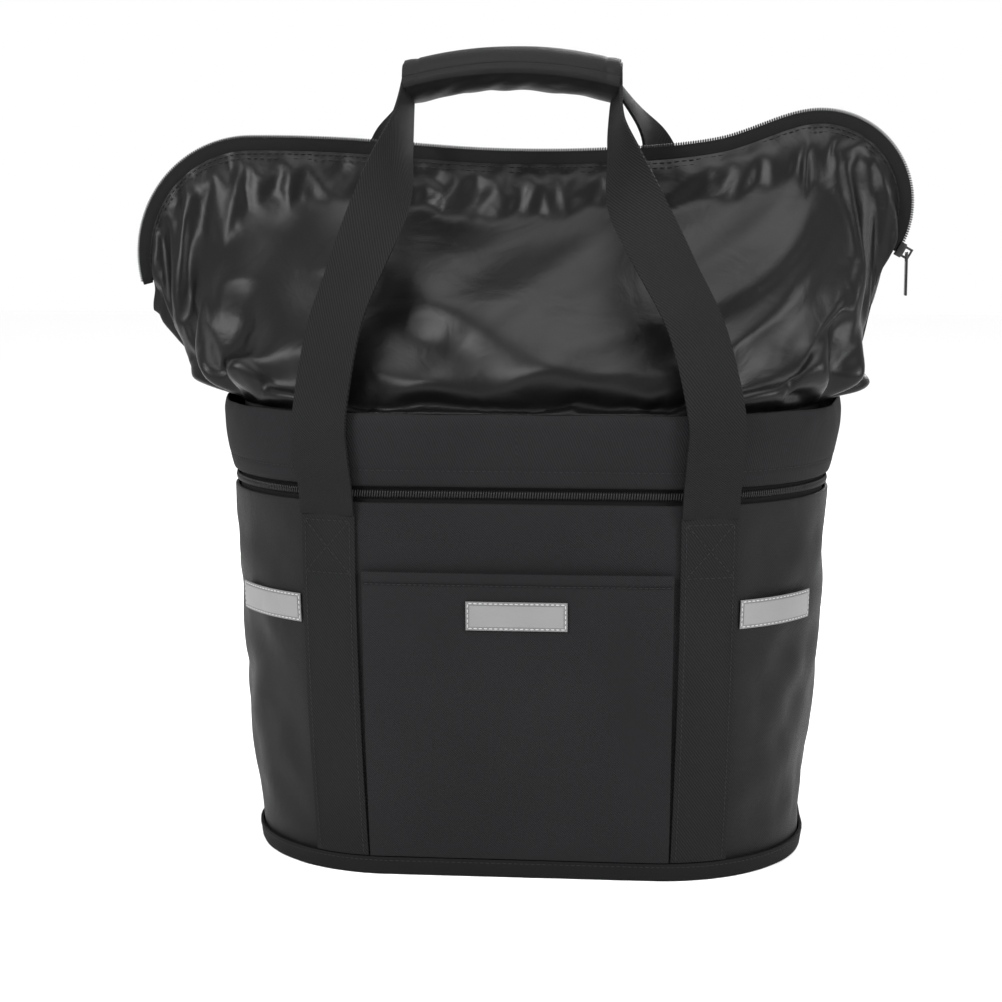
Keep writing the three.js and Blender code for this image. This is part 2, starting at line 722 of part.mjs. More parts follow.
// The plate screwed to the bag's back, with the channel that the bracket's flange slides up into
function buildAdapter() {
  const lipInner = plateFace + flangeThickness + 2 * clearance;
  const lipOuter = lipInner + flangeThickness;
  const half = adapterWidth / 2;
  const closed = adapterTop - railWidth / 2;
  const rail = channelHalf + railWidth;
  const slot = channelHalf - railWidth;
  const plate = block([-half, half], [backFace + clearance, plateFace], [adapterBottom, adapterTop]);
  const channel = cut(
    block([-rail, rail], [plateFace - bite, lipOuter], [adapterBottom + railWidth, adapterTop]),
    block([-channelHalf, channelHalf], [plateFace, lipInner], [0, closed]),
    block([-slot, slot], [lipInner - bite, lipOuter + bite], [0, closed]),
  );
  const seatHalf = latchWidth / 2 + clearance;
  const seatDepth = [plateFace - latchTravel + 0.1, plateFace + bite];
  const latchSeat = block([-seatHalf, seatHalf], seatDepth, latchSpan(clearance));
  add('adapter_plate', cut(join(plate, channel), ...screwHoles(), latchSeat), blackPlastic);

  const backingOuter = backFace - inside - boardThickness - clearance;
  const backingInner = backingOuter - clothThickness;
  const backing = block([-half, half], [backingInner, backingOuter], [adapterBottom, adapterTop]);
  add('backing_plate', cut(backing, ...screwHoles()), aluminium);
  const headFace = backingInner - clearance;
  screwPlaces().forEach(([x, z], i) => {
    const head = rodAlongY(screwRadius * 2, headFace - screwHead, headFace, x, z);
    const shank = rodAlongY(screwRadius, headFace - bite, plateFace - clearance, x, z);
    add(`adapter_screw_${i + 1}`, join(head, shank), steel);
  });
}

function boltPlaces() {
  const x = (armInner + armOuter) / 2;
  const low = barHeight - barRadius - boltRadius - boltWall;
  const high = barHeight + barRadius + boltRadius + boltWall;
  return [[-x, low], [-x, high], [x, low], [x, high]];
}

function buttonBox(flangeTo, extra) {
  const half = buttonWidth / 2 + extra;
  const from = flangeTo + buttonSetBack;
  return { x: [-half, half], y: [from - extra, from + buttonDepth + extra], foot: barHeight + buttonFoot };
}

// The bracket: a flange in the adapter's channel, a body, two clamp arms with caps, and the release
function buildBracket() {
  const flangeFrom = plateFace + clearance;
  const flangeTo = flangeFrom + flangeThickness;
  const low = adapterBottom + 2 * railWidth;
  const high = adapterTop - railWidth / 2 - clearance;
  const bodyTo = flangeTo + bodyDepth;
  const barY = bodyTo + barBehindBody;
  const armFrom = bodyTo - bridgeInset;
  const capFace = barY + barRadius + clampWall;
  const flangeHalf = channelHalf - clearance;
  const neckHalf = flangeHalf - railWidth;
  const clampSpan = [barHeight - clampHalf, barHeight + clampHalf];
  const armSpans = [[-armOuter, -armInner], [armInner, armOuter]];
  const bar = rodAlongX(barRadius + boreSlack, -2 * armOuter, 2 * armOuter, barY, barHeight);
  const boltHoles = boltPlaces().map(([x, z]) =>
    rodAlongY(boltRadius + clearance / 2, armFrom + clampWall, 2 * capFace, x, z));

  const flange = block([-flangeHalf, flangeHalf], [flangeFrom, flangeTo], [low, high]);
  const neck = block([-neckHalf, neckHalf], [flangeTo - bite, flangeTo + neckDepth], [low, high]);
  const pad = block([-bodyHalf, bodyHalf], [flangeTo, bodyTo], [low, high]);
  const bridge = block([-armOuter, armOuter], [armFrom, armFrom + bridgeDepth], clampSpan);
  const arms = armSpans.map((span) => block(span, [armFrom, barY - clampSplit / 2], clampSpan));
  const hole = buttonBox(flangeTo, clearance);
  const shaft = block(hole.x, hole.y, [hole.foot - springLength, high + buttonSetBack]);
  const latchHalf = latchWidth / 2;
  const latchWay = block(
    [-latchHalf - clearance, latchHalf + clearance],
    [flangeFrom - bite, hole.y[0] + bite],
    latchSpan(clearance),
  );
  const body = join(flange, neck, pad, bridge, ...arms);
  add('bracket_body', cut(body, bar, ...boltHoles, shaft, latchWay), blackPlastic);

  armSpans.forEach((span, i) => {
    const cap = block(span, [barY + clampSplit / 2, capFace], clampSpan);
    add(`${i ? 'right' : 'left'}_clamp_cap`, cut(cap, bar, ...boltHoles), blackPlastic);
  });
  boltPlaces().forEach(([x, z], i) => {
    const headFrom = capFace + clearance;
    const head = rodAlongY(boltRadius * 1.8, headFrom, headFrom + boltHead, x, z);
    const shank = rodAlongY(boltRadius, armFrom + bridgeDepth - bite, headFrom + bite, x, z);
    add(`clamp_bolt_${i + 1}`, join(head, shank), steel);
  });

  const button = buttonBox(flangeTo, 0);
  const buttonTop = high + buttonTravel + buttonShows;
  add('release_button', block(button.x, button.y, [button.foot, buttonTop]), redPlastic);
  const latchReach = [plateFace - latchTravel + clearance, button.y[0] - latchTravel - 2 * clearance];
  add('latch', block([-latchHalf, latchHalf], latchReach, latchSpan(0)), steel);
  addSpring(button);
}

// The return spring under the button: a wire helix standing in the button's shaft
function addSpring(button) {
  const low = button.foot - springLength + springWire + clearance;
  const high = button.foot - springWire - clearance;
  const middleY = (button.y[0] + button.y[1]) / 2;
  class Helix extends THREE.Curve {
    getPoint(along, target = new THREE.Vector3()) {
      const angle = along * springTurns * 2 * Math.PI;
      const y = middleY + springRadius * Math.sin(angle);
      return target.set(springRadius * Math.cos(angle), y, lerp(low, high, along));
    }
  }
  const wire = new THREE.Shape().absarc(0, 0, springWire, 0, 2 * Math.PI);
  const steps = springTurns * 10;
  const options = { steps, extrudePath: new Helix(), curveSegments: 2, bevelEnabled: false };
  add('button_spring', new THREE.ExtrudeGeometry(wire, options), steel);
}

buildBody();
buildRim();
buildHood();
buildTopSlider();
buildRimSlider();
buildReflectors();
buildWebbing();
buildGrip();
buildAdapter();
buildBracket();

export default basket;
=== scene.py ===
# Handlebar basket: cloth, zips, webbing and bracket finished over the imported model
import json
import math
import bpy
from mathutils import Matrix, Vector, noise


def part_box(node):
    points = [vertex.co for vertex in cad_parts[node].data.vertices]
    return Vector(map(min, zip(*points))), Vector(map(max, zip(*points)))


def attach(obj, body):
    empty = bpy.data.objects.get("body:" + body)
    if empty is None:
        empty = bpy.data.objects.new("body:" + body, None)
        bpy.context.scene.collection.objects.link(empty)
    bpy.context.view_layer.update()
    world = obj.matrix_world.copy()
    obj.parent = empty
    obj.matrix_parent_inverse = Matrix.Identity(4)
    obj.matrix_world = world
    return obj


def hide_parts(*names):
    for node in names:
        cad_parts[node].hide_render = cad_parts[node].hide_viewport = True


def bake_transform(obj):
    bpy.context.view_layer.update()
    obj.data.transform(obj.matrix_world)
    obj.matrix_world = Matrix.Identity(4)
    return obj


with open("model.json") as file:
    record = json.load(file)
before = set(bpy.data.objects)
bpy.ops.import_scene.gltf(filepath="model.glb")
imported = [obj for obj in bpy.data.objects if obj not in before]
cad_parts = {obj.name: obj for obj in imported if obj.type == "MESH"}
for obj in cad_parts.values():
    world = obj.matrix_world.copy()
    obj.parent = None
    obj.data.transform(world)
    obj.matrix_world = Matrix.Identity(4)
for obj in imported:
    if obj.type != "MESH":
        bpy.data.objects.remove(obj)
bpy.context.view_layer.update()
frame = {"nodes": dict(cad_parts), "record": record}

print("stage: frame loaded")

# thicknesses and clearances that the pieces share
layers = dict(gap=0.0005, wall=0.003, cloth=0.002, webbing=0.0018, webbingWidth=0.034, tape=0.0006)
inside = layers["wall"] + layers["gap"]
# the bag's outline, worked out from the frame
bag = dict(
    rimHalf=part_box("right_side_panel")[1][0],
    baseHalf=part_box("base_panel")[1][0] + inside,
    rimFront=-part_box("front_panel")[0][1],
    baseFront=-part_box("base_panel")[0][1] + inside,
    back=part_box("back_panel")[1][1],
    rimCorner=0.105,
    baseCorner=0.090,
    backCorner=0.060,
    wallTop=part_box("front_panel")[1][2],
    bandTop=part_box("rim_band")[1][2],
    bindingTop=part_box("base_binding")[1][2],
    zip=(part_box("rim_zip_coil")[0][2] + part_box("rim_zip_coil")[1][2]) / 2,
    strapSpread=0.111,
    sideSeam=0.125,
    pipingSeam=0.317,
)


def mix(a, b, t):
    return a + (b - a) * t


def ease(t, low=0.0, high=1.0):
    t = min(1.0, max(0.0, (t - low) / (high - low)))
    return t * t * (3 - 2 * t)


def wallRuns(height):
    rise = 1 - (1 - min(1.0, max(0.0, height / bag["wallTop"]))) ** 2
    half = mix(bag["baseHalf"], bag["rimHalf"], rise)
    front = mix(bag["baseFront"], bag["rimFront"], rise)
    corner = mix(bag["baseCorner"], bag["rimCorner"], rise)
    back = bag["backCorner"]
    side = front + bag["back"] - corner - back
    runs = [half - corner, corner * math.pi / 2, side, back * math.pi / 2, half - back]
    return half, front, corner, runs


rimRuns = wallRuns(bag["wallTop"])[3]
halfRound = sum(rimRuns)
fullRound = 2 * halfRound
sideMiddle = rimRuns[0] + rimRuns[1] + bag["rimFront"] - bag["rimCorner"]


def hump(value, middle, width):
    return math.exp(-((value - middle) / width) ** 2)


def signedPlace(distance):
    return distance if distance <= halfRound else distance - fullRound


def towardEnd(half):
    # 0 at the middle of the front or the back, 1 at the end of the ridge
    return half / sideMiddle if half < sideMiddle else (halfRound - half) / (halfRound - sideMiddle)


def wallPoint(distance, height, out, shift=0.0):
    # distance runs round the rim from the middle of the front; out is square to the wall
    half, front, corner, runs = wallRuns(height)
    wrapped = distance % fullRound
    mirror = -1 if wrapped > halfRound else 1
    left = wrapped if mirror > 0 else fullRound - wrapped
    along = mirror * shift
    for run, rimRun in zip(runs, rimRuns):
        if left > 0:
            along += run * min(1.0, left / rimRun)
            left -= rimRun
    side = -mirror if along < 0 else mirror
    along = abs(along)
    stretch = 0
    while stretch < 4 and along > runs[stretch]:
        along -= runs[stretch]
        stretch += 1
    back = bag["backCorner"]
    if stretch == 0:
        x, y, outX, outY = along, -front, 0, -1
    elif stretch == 1:
        angle = along / corner - math.pi / 2
        outX, outY = math.cos(angle), math.sin(angle)
        x, y = half - corner + corner * outX, corner - front + corner * outY
    elif stretch == 2:
        x, y, outX, outY = half, corner - front + along, 1, 0
    elif stretch == 3:
        angle = along / back
        outX, outY = math.cos(angle), math.sin(angle)
        x, y = half - back + back * outX, bag["back"] - back + back * outY
    else:
        x, y, outX, outY = half - back - along, bag["back"], 0, 1
    return Vector((side * (x + outX * out), y + outY * out, height))


def startEdit(action="SELECT"):
    bpy.ops.object.mode_set(mode="EDIT")
    bpy.ops.mesh.select_all(action=action)


def endEdit():
    bpy.ops.object.mode_set(mode="OBJECT")


def placeGrid(name, across, along, place, size, closeAcross=False, closeAlong=False):
    # place gives a point for 0 to 1 across and along; size is the flat size, which the weave follows
    edge = 1 - 1e-5
    bpy.ops.object.select_all(action="DESELECT")
    bpy.ops.mesh.primitive_grid_add(x_subdivisions=across, y_subdivisions=along, size=1)
    piece = bpy.context.object
    piece.name = piece.data.name = name
    for corner in piece.data.uv_layers[0].data:
        corner.uv = (corner.uv.x * size[0], corner.uv.y * size[1])
    for vertex in piece.data.vertices:
        u, v = vertex.co.x + 0.5, vertex.co.y + 0.5
        if closeAcross and u > edge:
            u = 0.0
        if closeAlong and v > edge:
            v = 0.0
        vertex.co = place(u, v)
    if closeAcross or closeAlong:
        startEdit()
        bpy.ops.mesh.remove_doubles(threshold=1e-6)
        endEdit()
    return piece


def pick(piece):
    bpy.ops.object.select_all(action="DESELECT")
    piece.select_set(True)
    bpy.context.view_layer.objects.active = piece


def shape(piece, kind, **settings):
    modifier = piece.modifiers.new(kind.lower(), kind)
    for setting, value in settings.items():
        setattr(modifier, setting, value)
    bpy.ops.object.modifier_apply(modifier=modifier.name)


def roundEdges(piece, width, angle):
    shape(piece, "BEVEL", width=width, segments=2, limit_method="ANGLE", angle_limit=math.radians(angle))


def smoothEdges(angle):
    bpy.ops.object.shade_smooth_by_angle(angle=math.radians(angle))


def thicken(piece, thickness, offset=-1.0, soften=True):
    pick(piece)
    shape(piece, "SOLIDIFY", thickness=thickness, offset=offset, use_even_offset=True)
    if soften:
        roundEdges(piece, thickness * 0.3, 50)
    smoothEdges(50)


def meshPiece(name, vertices, polygons):
    mesh = bpy.data.meshes.new(name)
    mesh.from_pydata(vertices, [], polygons)
    piece = bpy.data.objects.new(name, mesh)
    bpy.context.collection.objects.link(piece)
    pick(piece)
    startEdit()
    bpy.ops.mesh.normals_make_consistent(inside=False)
    endEdit()
    return piece


def finish(piece, material, body="bag", replaces=()):
    piece.data.materials.clear()
    piece.data.materials.append(material)
    if body:
        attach(piece, body)
    if replaces:
        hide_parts(*replaces)
    return piece


def ripple(x, y, z=0.0, scale=30.0):
    return noise.noise(Vector((x * scale, y * scale, z * scale)))

def catmull(points, t, closed=False):
    # a smooth curve through the points, at 0 to 1 along it
    count = len(points)
    spans = count if closed else count - 1
    place = min(max(t, 0.0), 1.0) * spans
    i = min(int(place), spans - 1)
    f = place - i
    if closed:
        a, b, c, d = (points[(i + k) % count] for k in (-1, 0, 1, 2))
    else:
        a, b, c, d = (points[min(max(i + k, 0), count - 1)] for k in (-1, 0, 1, 2))
    square = 2 * a - 5 * b + 4 * c - d
    cube = 3 * b - a - 3 * c + d
    return 0.5 * (2 * b + (c - a) * f + square * f ** 2 + cube * f ** 3)


def ringPiece(name, profile, across=240, along=24, wave=None):
    # a closed profile of (out, height) points carried all round the bag
    points = [Vector((out, height, 0)) for out, height in profile]

    def place(u, v):
        spot = catmull(points, v, closed=True)
        lift = wave(u * fullRound, spot.y) if wave else (0.0, 0.0)
        return wallPoint(u * fullRound, spot.y, spot.x + lift[0]) + Vector((0, 0, lift[1]))

    return placeGrid(name, across, along, place, (fullRound, 0.05), closeAcross=True, closeAlong=True)


def roundedBar(inner, outer, low, high):
    cut = min(outer - inner, high - low) * 0.28
    middle = (low + high) / 2
    return [
        (outer, low + cut), (outer, middle), (outer, high - cut), (outer - cut, high), (inner + cut, high),
        (inner, high - cut), (inner, middle), (inner, low + cut), (inner + cut, low), (outer - cut, low),
    ]


# how the weave, dye and wear mix in every material, with the painted shade in the weave's rib grooves
looks = dict(
    ribHeight=0.35, breakHeight=0.15, grooveShadeTone=0.45, cloudTone=0.35, speckTone=0.2, cloudDetail=3.0,
    clothRough=0.12, weaveBump=0.6, creaseBump=0.5, creaseScale=26.0, creaseDetail=4.0, creaseTwist=1.2,
    hardDark=0.75, hardLight=1.25, hardRough=0.2, grainBump=0.5,
)


def socketGroup(name, inputs, outputs):
    group = bpy.data.node_groups.new(name, "ShaderNodeTree")
    for label, kind, value in inputs:
        socket = group.interface.new_socket(label, in_out="INPUT", socket_type=kind)
        if value is not None:
            socket.default_value = value
    for label, kind in outputs:
        group.interface.new_socket(label, in_out="OUTPUT", socket_type=kind)
    return group, group.nodes.new("NodeGroupInput"), group.nodes.new("NodeGroupOutput")


def mathNode(tree, operation, a, b=None, c=None):
    node = tree.nodes.new("ShaderNodeMath")
    node.operation = operation
    for socket, value in zip(node.inputs, (a, b, c)):
        if value is None:
            continue
        if isinstance(value, (int, float)):
            socket.default_value = value
        else:
            tree.links.new(value, socket)
    return node.outputs[0]


def times(tree, a, b):
    return mathNode(tree, "MULTIPLY", a, b)


def plus(tree, a, b):
    return mathNode(tree, "ADD", a, b)


def twillGroup():
    # diagonal ribs with a thread break across them; Rib is the pitch in metres. The second output is painted
    # shade: lighter on the rib crests and darker in the grooves
    group, given, result = socketGroup("twillWeave", [
        ("Vector", "NodeSocketVector", None),
        ("Rib", "NodeSocketFloat", 0.001),
        ("Slope", "NodeSocketFloat", 1.0),
    ], [("Height", "NodeSocketFloat"), ("GrooveShade", "NodeSocketFloat")])
    split = group.nodes.new("ShaderNodeSeparateXYZ")
    group.links.new(given.outputs["Vector"], split.inputs[0])
    across = mathNode(group, "DIVIDE", split.outputs[0], given.outputs["Rib"])
    up = mathNode(group, "DIVIDE", split.outputs[1], given.outputs["Rib"])
    diagonal = plus(group, across, times(group, up, given.outputs["Slope"]))
    rib = mathNode(group, "SINE", times(group, diagonal, 2 * math.pi))
    crossing = mathNode(group, "SUBTRACT", times(group, across, 2.0), up)
    thread = mathNode(group, "SINE", times(group, crossing, 2 * math.pi))
    height = plus(group, times(group, rib, looks["ribHeight"]), times(group, thread, looks["breakHeight"]))
    group.links.new(plus(group, height, 0.5), result.inputs["Height"])
    # painted shade: the colour follows the ribs, darker in the grooves where shade falls
    group.links.new(plus(group, times(group, rib, 0.5), 0.5), result.inputs["GrooveShade"])
    return group


def wearGroup():
    # uneven dye and dust: a broad cloud and a fine speckle
    group, given, result = socketGroup("dustAndDye", [
        ("Vector", "NodeSocketVector", None),
        ("Cloud", "NodeSocketFloat", 14.0),
        ("Speck", "NodeSocketFloat", 900.0),
    ], [("Cloud", "NodeSocketFloat"), ("Speck", "NodeSocketFloat")])
    for label in ("Cloud", "Speck"):
        cloud = group.nodes.new("ShaderNodeTexNoise")
        cloud.inputs["Detail"].default_value = looks["cloudDetail"]
        group.links.new(given.outputs["Vector"], cloud.inputs["Vector"])
        group.links.new(given.outputs[label], cloud.inputs["Scale"])
        group.links.new(cloud.outputs["Fac"], result.inputs[label])
    return group


weave = twillGroup()
wear = wearGroup()


def groupNode(tree, group, where, **values):
    node = tree.nodes.new("ShaderNodeGroup")
    node.node_tree = group
    tree.links.new(where, node.inputs["Vector"])
    for label, value in values.items():
        node.inputs[label].default_value = value
    return node


def bumpNode(tree, height, strength, distance, before=None):
    bump = tree.nodes.new("ShaderNodeBump")
    bump.inputs["Strength"].default_value = strength
    bump.inputs["Distance"].default_value = distance
    tree.links.new(height, bump.inputs["Height"])
    if before:
        tree.links.new(before, bump.inputs["Normal"])
    return bump.outputs["Normal"]


def startMaterial(name, gloss):
    material = bpy.data.materials.new(name)
    material.use_nodes = True
    tree = material.node_tree
    shader = tree.nodes["Principled BSDF"]
    shader.inputs["Specular IOR Level"].default_value = gloss
    return material, tree, shader, tree.nodes.new("ShaderNodeTexCoord").outputs


def paint(tree, shader, amount, dark, light):
    ramp = tree.nodes.new("ShaderNodeValToRGB")
    ramp.color_ramp.elements[0].color = (*dark, 1)
    ramp.color_ramp.elements[1].color = (*light, 1)
    tree.links.new(amount, ramp.inputs[0])
    tree.links.new(ramp.outputs[0], shader.inputs["Base Color"])


def roughen(tree, shader, cloud, rough, spread):
    roughness = mathNode(tree, "MULTIPLY_ADD", cloud, spread, rough - spread / 2)
    tree.links.new(roughness, shader.inputs["Roughness"])


def clothMaterial(name, dark, light, rough, rib, relief, gloss, slope=1.0, crease=0.0):
    # rib and relief are the weave's pitch and depth, and crease the depth of soft crumples, in metres
    material, tree, shader, where = startMaterial(name, gloss)
    weaveAndShade = groupNode(tree, weave, where["UV"], Rib=rib, Slope=slope)
    tone = groupNode(tree, wear, where["Object"])
    # the ribs' share of the colour is painted shade, darker in the grooves and lighter on the crests
    amount = plus(tree, times(tree, weaveAndShade.outputs["GrooveShade"], looks["grooveShadeTone"]),
                  times(tree, tone.outputs["Cloud"], looks["cloudTone"]))
    amount = plus(tree, amount, times(tree, tone.outputs["Speck"], looks["speckTone"]))
    paint(tree, shader, amount, dark, light)
    roughen(tree, shader, tone.outputs["Cloud"], rough, looks["clothRough"])
    last = bumpNode(tree, weaveAndShade.outputs["Height"], looks["weaveBump"], relief)
    if crease:
        crumple = tree.nodes.new("ShaderNodeTexNoise")
        crumple.inputs["Scale"].default_value = looks["creaseScale"]
        crumple.inputs["Detail"].default_value = looks["creaseDetail"]
        crumple.inputs["Distortion"].default_value = looks["creaseTwist"]
        tree.links.new(where["Object"], crumple.inputs["Vector"])
        last = bumpNode(tree, crumple.outputs["Fac"], looks["creaseBump"], crease, last)
    tree.links.new(last, shader.inputs["Normal"])
    return material


def hardMaterial(name, color, rough, metal=0.0, grain=0.0, grainScale=900.0, gloss=0.5):
    material, tree, shader, where = startMaterial(name, gloss)
    shader.inputs["Metallic"].default_value = metal
    tone = groupNode(tree, wear, where["Object"], Speck=grainScale)
    dark = [c * looks["hardDark"] for c in color]
    light = [min(1, c * looks["hardLight"]) for c in color]
    paint(tree, shader, tone.outputs["Cloud"], dark, light)
    roughen(tree, shader, tone.outputs["Cloud"], rough, looks["hardRough"])
    if grain:
        bumped = bumpNode(tree, tone.outputs["Speck"], looks["grainBump"], grain)
        tree.links.new(bumped, shader.inputs["Normal"])
    return material


twill = clothMaterial(
    "twillCloth", (0.0025, 0.0025, 0.0028), (0.013, 0.013, 0.014), rough=0.75, rib=0.0015, relief=0.0004,
    gloss=0.06, crease=0.0008,
)
sideTwill = clothMaterial(
    "sideCloth", (0.0022, 0.0022, 0.0025), (0.0095, 0.0095, 0.010), rough=0.52, rib=0.0015, relief=0.0003,
    gloss=0.07, crease=0.0016,
)
hoodNylon = clothMaterial(
    "hoodNylon", (0.0016, 0.0016, 0.0018), (0.0040, 0.0040, 0.0043), rough=0.34, rib=0.0007, relief=0.00005,
    gloss=0.13, crease=0.0018,
)
gripNylon = clothMaterial(
    "gripCloth", (0.0018, 0.0018, 0.0020), (0.0065, 0.0065, 0.007), rough=0.45, rib=0.0009, relief=0.0002,
    gloss=0.09, crease=0.0022,
)
strapWeb = clothMaterial(
    "strapWebbing", (0.0012, 0.0012, 0.0014), (0.0125, 0.0125, 0.013), rough=0.66, rib=0.0017, slope=0.7,
    relief=0.0005, gloss=0.05,
)
tapeWeb = clothMaterial(
    "zipTape", (0.0025, 0.0025, 0.0028), (0.009, 0.009, 0.0095), rough=0.7, rib=0.0008, relief=0.0002,
    gloss=0.05,
)
coilNylon = hardMaterial("coilNylon", (0.006, 0.006, 0.0065), 0.42, gloss=0.22)
threadBlack = hardMaterial("blackThread", (0.010, 0.010, 0.011), 0.7, gloss=0.15)
threadPale = hardMaterial("paleThread", (0.27, 0.27, 0.27), 0.6, gloss=0.3)
blackMetal = hardMaterial("blackMetal", (0.02, 0.02, 0.021), 0.35, metal=0.8)
blackPlastic = hardMaterial("blackPlastic", (0.016, 0.016, 0.017), 0.5, grain=0.0001, gloss=0.35)
boardGrey = hardMaterial("boardGrey", (0.05, 0.05, 0.055), 0.6, grain=0.0001)
plainAluminium = hardMaterial("plainAluminium", (0.6, 0.61, 0.63), 0.35, metal=1.0, grain=0.00003)
zincSteel = hardMaterial("zincSteel", (0.45, 0.46, 0.48), 0.32, metal=1.0, grain=0.00003)
redPlastic = hardMaterial("redPlastic", (0.42, 0.02, 0.015), 0.4, grain=0.00005)
silverTape = hardMaterial(
    "silverTape", (0.125, 0.125, 0.127), 0.45, metal=0.2, grain=0.00012, grainScale=2600.0,
)
silverEdge = hardMaterial("silverEdge", (0.085, 0.085, 0.085), 0.6, grain=0.0001)
print("stage: materials")

# sags and holds in metres, and how many waves fit in a metre
walls = dict(
    cloth=0.0024, allowance=0.002, frontSag=0.0014, frontBroad=14.0, frontFine=34.0, frontHold=0.02,
    sideSag=0.0048, sideBroad=22.0, sideFine=40.0, sideHold=0.03, sideFoot=0.04,
    pipingOut=0.0002, pipingRise=0.0013, pipingHalf=0.0015, pipingGirth=0.009,
)
pocket = dict(
    half=bag["strapSpread"] - layers["webbingWidth"] / 2 - 0.0035,
    low=bag["bindingTop"] + layers["gap"],
    hem=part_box("pocket_hem")[0][2],
    top=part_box("pocket_hem")[1][2],
    cloth=0.0018, belly=0.0016, bellyHeight=0.12, bellySpread=0.07, bellyHalf=0.1,
    mouth=0.0012, mouthTall=0.03, mouthHalf=0.095, waves=0.0007, waveScale=20.0, stand=0.0004,
    hemFold=0.0007, hemStitch=0.0012, grooveWidth=0.0009,
)


def frontSag(distance, height):
    broad = ripple(distance, height, 0.3, walls["frontBroad"]) * 0.6
    broad += ripple(distance, height, 2.1, walls["frontFine"]) * 0.4
    calm = ease(height, 0.0, walls["frontHold"]) * ease(bag["wallTop"] - height, 0.0, walls["frontHold"])
    return walls["frontSag"] * broad * calm


def sideSag(distance, height):
    aside = abs(distance)
    folds = ripple(distance * 0.8 + height * 0.5, height * 0.4, 1.0, walls["sideBroad"])
    folds += 0.6 * ripple(distance, height, 4.0, walls["sideFine"])
    calm = ease(height, 0.0, walls["sideFoot"]) * ease(bag["wallTop"] - height, 0.0, walls["sideHold"])
    edge = ease(aside, bag["sideSeam"], bag["sideSeam"] + walls["sideHold"])
    edge *= ease(bag["pipingSeam"] - aside, 0.0, walls["sideHold"])
    return walls["sideSag"] * (folds * 0.7 - 0.35) * calm * edge


def flatWall(distance, height):
    return 0.0


def wallPanel(name, start, end, low, high, out, sag, across, along, shiftWidth=None):
    # with shiftWidth the panel is that wide about start, measured along the wall at every height
    def place(u, v):
        height = mix(low, high, v)
        if shiftWidth:
            distance, shift = start, mix(-shiftWidth / 2, shiftWidth / 2, u)
        else:
            distance, shift = mix(start, end, u), 0.0
        return wallPoint(distance, height, out + sag(signedPlace(distance) + shift, height), shift)

    width = shiftWidth or end - start
    return placeGrid(name, across, along, place, (width, high - low))


def buildWalls():
    seam = layers["gap"] / 2
    front = bag["sideSeam"] - seam
    top = bag["wallTop"]
    panel = wallPanel("frontPanel", -front, front, 0.0, top, 0.0, frontSag, 90, 70)
    thicken(panel, walls["cloth"])
    finish(panel, twill, replaces=["front_panel"])

    sideFrom = bag["sideSeam"] + seam
    sideTo = bag["pipingSeam"] - walls["allowance"]
    for name, node, start, end in (("rightSidePanel", "right_side_panel", sideFrom, sideTo),
                                   ("leftSidePanel", "left_side_panel", -sideTo, -sideFrom)):
        panel = wallPanel(name, start, end, 0.0, top, 0.0, sideSag, 80, 80)
        thicken(panel, walls["cloth"])
        finish(panel, sideTwill, replaces=[node])

    for name, node, middle in (("rightPiping", "right_piping", bag["pipingSeam"]),
                               ("leftPiping", "left_piping", -bag["pipingSeam"])):
        def place(u, v, middle=middle):
            angle = u * 2 * math.pi
            out = walls["pipingOut"] + walls["pipingRise"] * math.sin(angle)
            height = mix(bag["bindingTop"], top, v)
            return wallPoint(middle, height, out, walls["pipingHalf"] * math.cos(angle))

        piping = placeGrid(name, 12, 60, place, (walls["pipingGirth"], top), closeAcross=True)
        finish(piping, tapeWeb, replaces=[node])
        pick(piping)
        bpy.ops.object.shade_smooth()

    backFrom = bag["pipingSeam"] + walls["allowance"]
    panel = wallPanel("backPanel", backFrom, fullRound - backFrom, 0.0, top, 0.0, flatWall, 110, 60)
    thicken(panel, walls["cloth"])
    finish(panel, twill, replaces=["back_panel"])


def pocketSag(distance, height):
    p = pocket
    belly = p["belly"] * hump(height, p["bellyHeight"], p["bellySpread"])
    belly *= 1 - (distance / p["bellyHalf"]) ** 2
    mouth = p["mouth"] * ease(height, p["top"] - p["mouthTall"], p["top"])
    mouth *= 1 - (distance / p["mouthHalf"]) ** 4
    return max(0.0, belly + mouth + p["waves"] * ripple(distance, height, 7.0, p["waveScale"]) + p["stand"])


def buildPocket():
    half, low, hem, top = (pocket[part] for part in ("half", "low", "hem", "top"))

    def fold(distance, height):
        turned = pocket["hemFold"] * ease(height, hem - 0.0005, hem + 0.0005)
        groove = pocket["hemFold"] * hump(height, hem - pocket["hemStitch"], pocket["grooveWidth"])
        return pocketSag(distance, height) + turned - groove

    sheet = wallPanel("frontPocket", -half, half, low, top, layers["gap"] + layers["cloth"], fold, 90, 150)
    thicken(sheet, pocket["cloth"])
    finish(sheet, twill, replaces=["front_pocket", "pocket_hem"])


def bindingWave(distance, height):
    return 0.0003 * ripple(distance, height, 0.0, 60.0), 0.0


def buildBase():
    low, out = layers["gap"], layers["gap"] + layers["cloth"]
    binding = ringPiece("baseBinding", roundedBar(low, out, 0.0, bag["bindingTop"]), 260, 24, bindingWave)
    pick(binding)
    bpy.ops.object.shade_smooth()
    finish(binding, tapeWeb, replaces=["base_binding"])


buildWalls()
buildPocket()
buildBase()
print("stage: walls, pocket and base")

# the fullness is the outward curve of the band; each end lifts a little where the hood pulls on it
band = dict(
    low=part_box("rim_band")[0][2], swell=0.006, thickness=0.0035, stitchRise=0.009, hemDrop=0.0006,
    fullness=((0.05, 0.0), (0.35, 0.14), (0.6, 0.3), (0.82, 0.5), (0.97, 0.72), (1.0, 0.88)),
    endSpread=0.035, endLift=0.0045, leftLift=0.6, endOut=0.0010, waves=0.0016, waveScale=24.0,
    crumple=0.0007, crumpleScale=70.0, groove=0.0006, grooveWidth=0.0010, sway=0.0010, swayScale=22.0,
)


